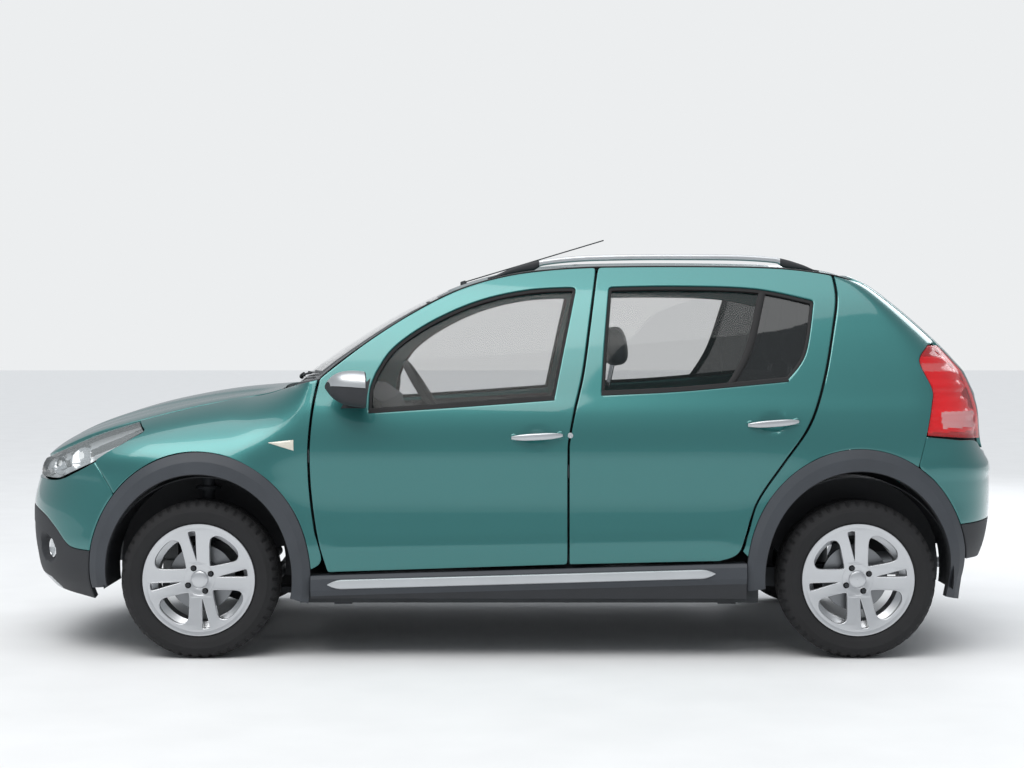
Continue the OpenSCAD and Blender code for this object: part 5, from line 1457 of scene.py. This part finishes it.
for name, y in (("left", -370), ("right", 370)):
    cushion(f"seat_cushion_{name}", (1275, 512), (470, 500, 130), -5, y, (0.5,), 22,
            replaced="seats" if name == "left" else ())
    cushion(f"seat_back_{name}", (1590, 800), (600, 490, 118), 101, y, (0.5,), 26)
    cushion(f"seat_headrest_{name}", (1655, 1226), (165, 250, 88), 100, y, (), 0, 8, 3.4)
    cushion(f"seat_base_{name}", (1285, 345), (380, 420, 218), 0, y, (), 0, 2, 7, BLACK)
    posts(f"seat_posts_{name}", y, 60, (1628, 1060), (1650, 1170), 6)
cushion("bench_cushion", (2030, 540), (470, 1010, 135), -5, 0, (0.33,), 10)
cushion("bench_back", (2340, 825), (610, 1010, 118), 101, 0, (0.33,), 12)
cushion("bench_base", (2060, 360), (340, 960, 200), 0, 0, (), 0, 2, 7, BLACK)
for k, y in enumerate((-300, 300)):
    cushion(f"bench_headrest_{k}", (2408, 1216), (150, 240, 78), 98, y, (), 0, 8, 3.4)
    posts(f"bench_posts_{k}", y, 40, (2395, 1085), (2404, 1160), 5)

# Roof lining, wipers, repeaters, fog lamps, inner mirror
c, t = np.linspace(-1, 1, 31), np.linspace(0, 1, 31)
C, T = np.meshgrid(c, t)
D = mix(along(ROOF_FRONT, np.abs(C)) + 12, GATE_AXIS - 20, T)
g = roof_point(D, C * 0.99) - [0, 0, 26]
p = Parts()
p.grid(g[:, ::-1])
LINING = material("lining", "#a9a8a4", 0.95, grain=0.8, grain_scale=500, shade=0.06)
p.make("roof_lining", [LINING], "body", (), 50)

p = Parts()
for y0, y1 in ((520, -60), (-40, -560)):
    half = float(screen_point(np.zeros((1, 1)), np.ones((1, 1)))[0, 0, 1])
    yy = np.linspace(y0, y1, 30)
    tt = np.linspace(0.035, 0.075, 30)
    path = screen_point(tt[None], (yy / half)[None])[0] - 9 * SCREEN_IN
    p.tube(tube_path(path, 4.5, 8), 0)
    across = np.linspace(y0 + 20, (y0 + y1) / 2, 16) / half
    arm = screen_point(np.linspace(0, 0.06, 16)[None], across[None])[0] - 14 * SCREEN_IN
    p.tube(tube_path(arm, np.linspace(9, 5, 16), 10), 0)
p.make("wipers", [BLACK], "body", (), 45)

p = Parts()
tri = np.array([[271, 851], [380, 863], [381, 820]], float)
u = np.linspace(0, 1, 9)
g = np.stack([mix(mix(tri[0], tri[1], x)[None], mix(tri[0], tri[2], x)[None], u[:, None])
              for x in np.linspace(0.06, 0.97, 14)])
bulge = 3.4 * np.sin(np.pi * u)[None, :] ** 0.6 * np.sin(np.pi * np.linspace(0.1, 0.95, 14))[:, None] ** 0.5
p.slab(on_side(g, -1 - bulge), on_side(g, 3))
p.mirrored()
REPEATER = material("repeater", "#d8d3c6", 0.15, shade=0.1, shade_scale=40, coat=1.0)
p.make("side_repeaters", [REPEATER], "body", (), 45)

p = Parts()
fog_d = float(nose_d(np.array(float(FOG_Y)), np.array(float(FOG_Z))))
fog_bowl = ((41, 36), (41, 24), (36, 22), (34, 30), (22, 38), (3, 41))
fog_lens = ((33.5, 27), (32, 25), (18, 22.5), (2, 22))
a = full_turn(40)
for k in (-1, 1):
    for slot, section in enumerate((fog_bowl, fog_lens)):
        rings = np.stack([points(fog_d + back + 0.55 * rad * np.cos(a), k * (FOG_Y + 0.84 * rad * np.cos(a)),
                                 FOG_Z + rad * np.sin(a)) for rad, back in section])
        p.tube(rings if k < 0 else rings[:, ::-1], slot)
p.make("fog_lamps", [CHROME, LENS], "body", (), 40)

# Bars across the lower intake, and the panel behind the grille
p = Parts()
for z0 in (362, 392, 422, 452, 480):
    y = np.linspace(-405, 405, 41)
    d = nose_across(y, np.full_like(y, z0)) + 22
    section = ((0, -4), (-3, 0), (0, 4), (16, 5), (16, -5))
    p.tube(np.stack([points(d + dx, y, z0 + dz) for dx, dz in section], 1))
c, t = np.meshgrid(np.linspace(-1, 1, 41), np.linspace(0, 1, 12))
y = c * 560
d = mix(nose_across(y, np.full_like(y, 750.0)) + 26, -590, t)
z = along(BONNET_LINE, d) - 42 - 46 * np.abs(c) ** 2.3 - 26 * (1 - smooth01(t / 0.3))
p.grid(points(d, y, z)[:, ::-1])
p.make("front_panel", [BLACK], "body", (), 40)

# Trim on the inner side of the rear quarters
z, t = np.meshgrid(np.linspace(834, 1484, 30), np.linspace(0, 1, 24), indexing="ij")
d = mix(shut_at(REAR_SHUT, z) + 46, np.array([[gate_edge(q)[0] for q in row] for row in z]) - 34, t)
rim = np.minimum(np.minimum(t, 1 - t) * 20, 1)
p = Parts()
p.grid(points(d, side_y(d, z) - 38 - 8 * rim, z))
p.mirrored()
p.make("quarter_trim", [TRIM], "body", (), 50)

p = Parts()
a = full_turn(32)
section = ((0, 0.5), (8, 0.9), (24, 1), (30, 0.97))
p.tube(np.stack([points(868 + x, 110 * s * squared(np.cos(a), 0.7), 1368 + 30 * s * squared(np.sin(a), 0.8))
                 for x, s in section]))
p.tube(tube_path(points(np.linspace(862, 872, 8), np.zeros(8), np.linspace(1418, 1370, 8)), 9, 12), 0)
p.make("inner_mirror", [BLACK], "body", (), 40)

# Rear panel behind the gap round the tailgate's foot, in black as painted shade: a dark sheet standing in for
# the shade seen through the gap
z, t = np.meshgrid(np.linspace(745, 905, 18), np.linspace(-36, 80, 24), indexing="ij")
wide = gate_half(np.maximum(z, GATE_LOW))
y = wide + t
d = tail_d(y, z) - mix(54, 34, smooth01((t - 6) / 34))
p = Parts()
p.grid(points(d, y, z))
p.mirrored()
t = np.linspace(-1, 1, 61)
z, t = np.meshgrid(np.linspace(745, 835, 10), t, indexing="ij")
y = t * (gate_half(np.maximum(z, GATE_LOW)) - 30)
p.grid(points(tail_d(np.maximum(np.abs(y), 15), z) - 54, y, z))
p.make("rear_panel_painted_shade", [BLACK], "body", (), 50)

# Inner walls of the wheel housings, and shields below the ends of their liners; the shields are painted
# shade, black sheets that stand in for the shade below the liners' ends
p = Parts()
for c, inboard, start in ((0, 462, 0.58), (WHEELBASE, 524, 0.3)):
    a = np.linspace(12, 168, 41)
    rows = []
    for t in np.linspace(start, 1.03, 10):
        q = mix(np.array([c, AXLE_Z + 60.0])[None], arch(c, a), t)
        rows.append(points(q[:, 0], inboard + 14 * t * t, q[:, 1]))
    p.grid(np.stack(rows))
    # The shields are painted shade: black sheets below the liners' ends, where daylight under the car would
    # otherwise show through.
    for a0, a1 in ((-8, 16), (164, 188)):
        low = arch(c, np.linspace(a0, a1, 8))
        foot = np.array([c, AXLE_Z + 18.0])
        p.grid(np.stack([np.insert(mix(foot, low, t), 1, inboard - 10, axis=1)
                         for t in np.linspace(0.8, 1.04, 6)]))
        q = arch(c, np.linspace(a0, a1, 12), -16)
        y = np.linspace(inboard + 16, 792, 12)
        p.grid(np.stack([points(q[:, 0], k, q[:, 1]) for k in y]))
p.mirrored()
p.make("housing_walls_and_shade_shields", [BLACK], "body", (), 50)

# Finishes of the solids that are shown as they are
FINISHES = {
    "platform": SHELL, "side_frames": TRIM, "engine": ENGINE, "front_subframe": STEEL, "rear_axle": STEEL,
    "exhaust": DISC, "fuel_tank": BLACK, "arch_liners": BLACK, "dashboard": DASH, "hinges": STEEL,
    "aerial": BLACK, "steering_wheel": DASH, "knuckle_left": STEEL, "knuckle_right": STEEL}
for node, m in FINISHES.items():
    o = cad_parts[node]
    if not o.material_slots:
        o.data.materials.append(m)
    for s in o.material_slots:
        s.material = m
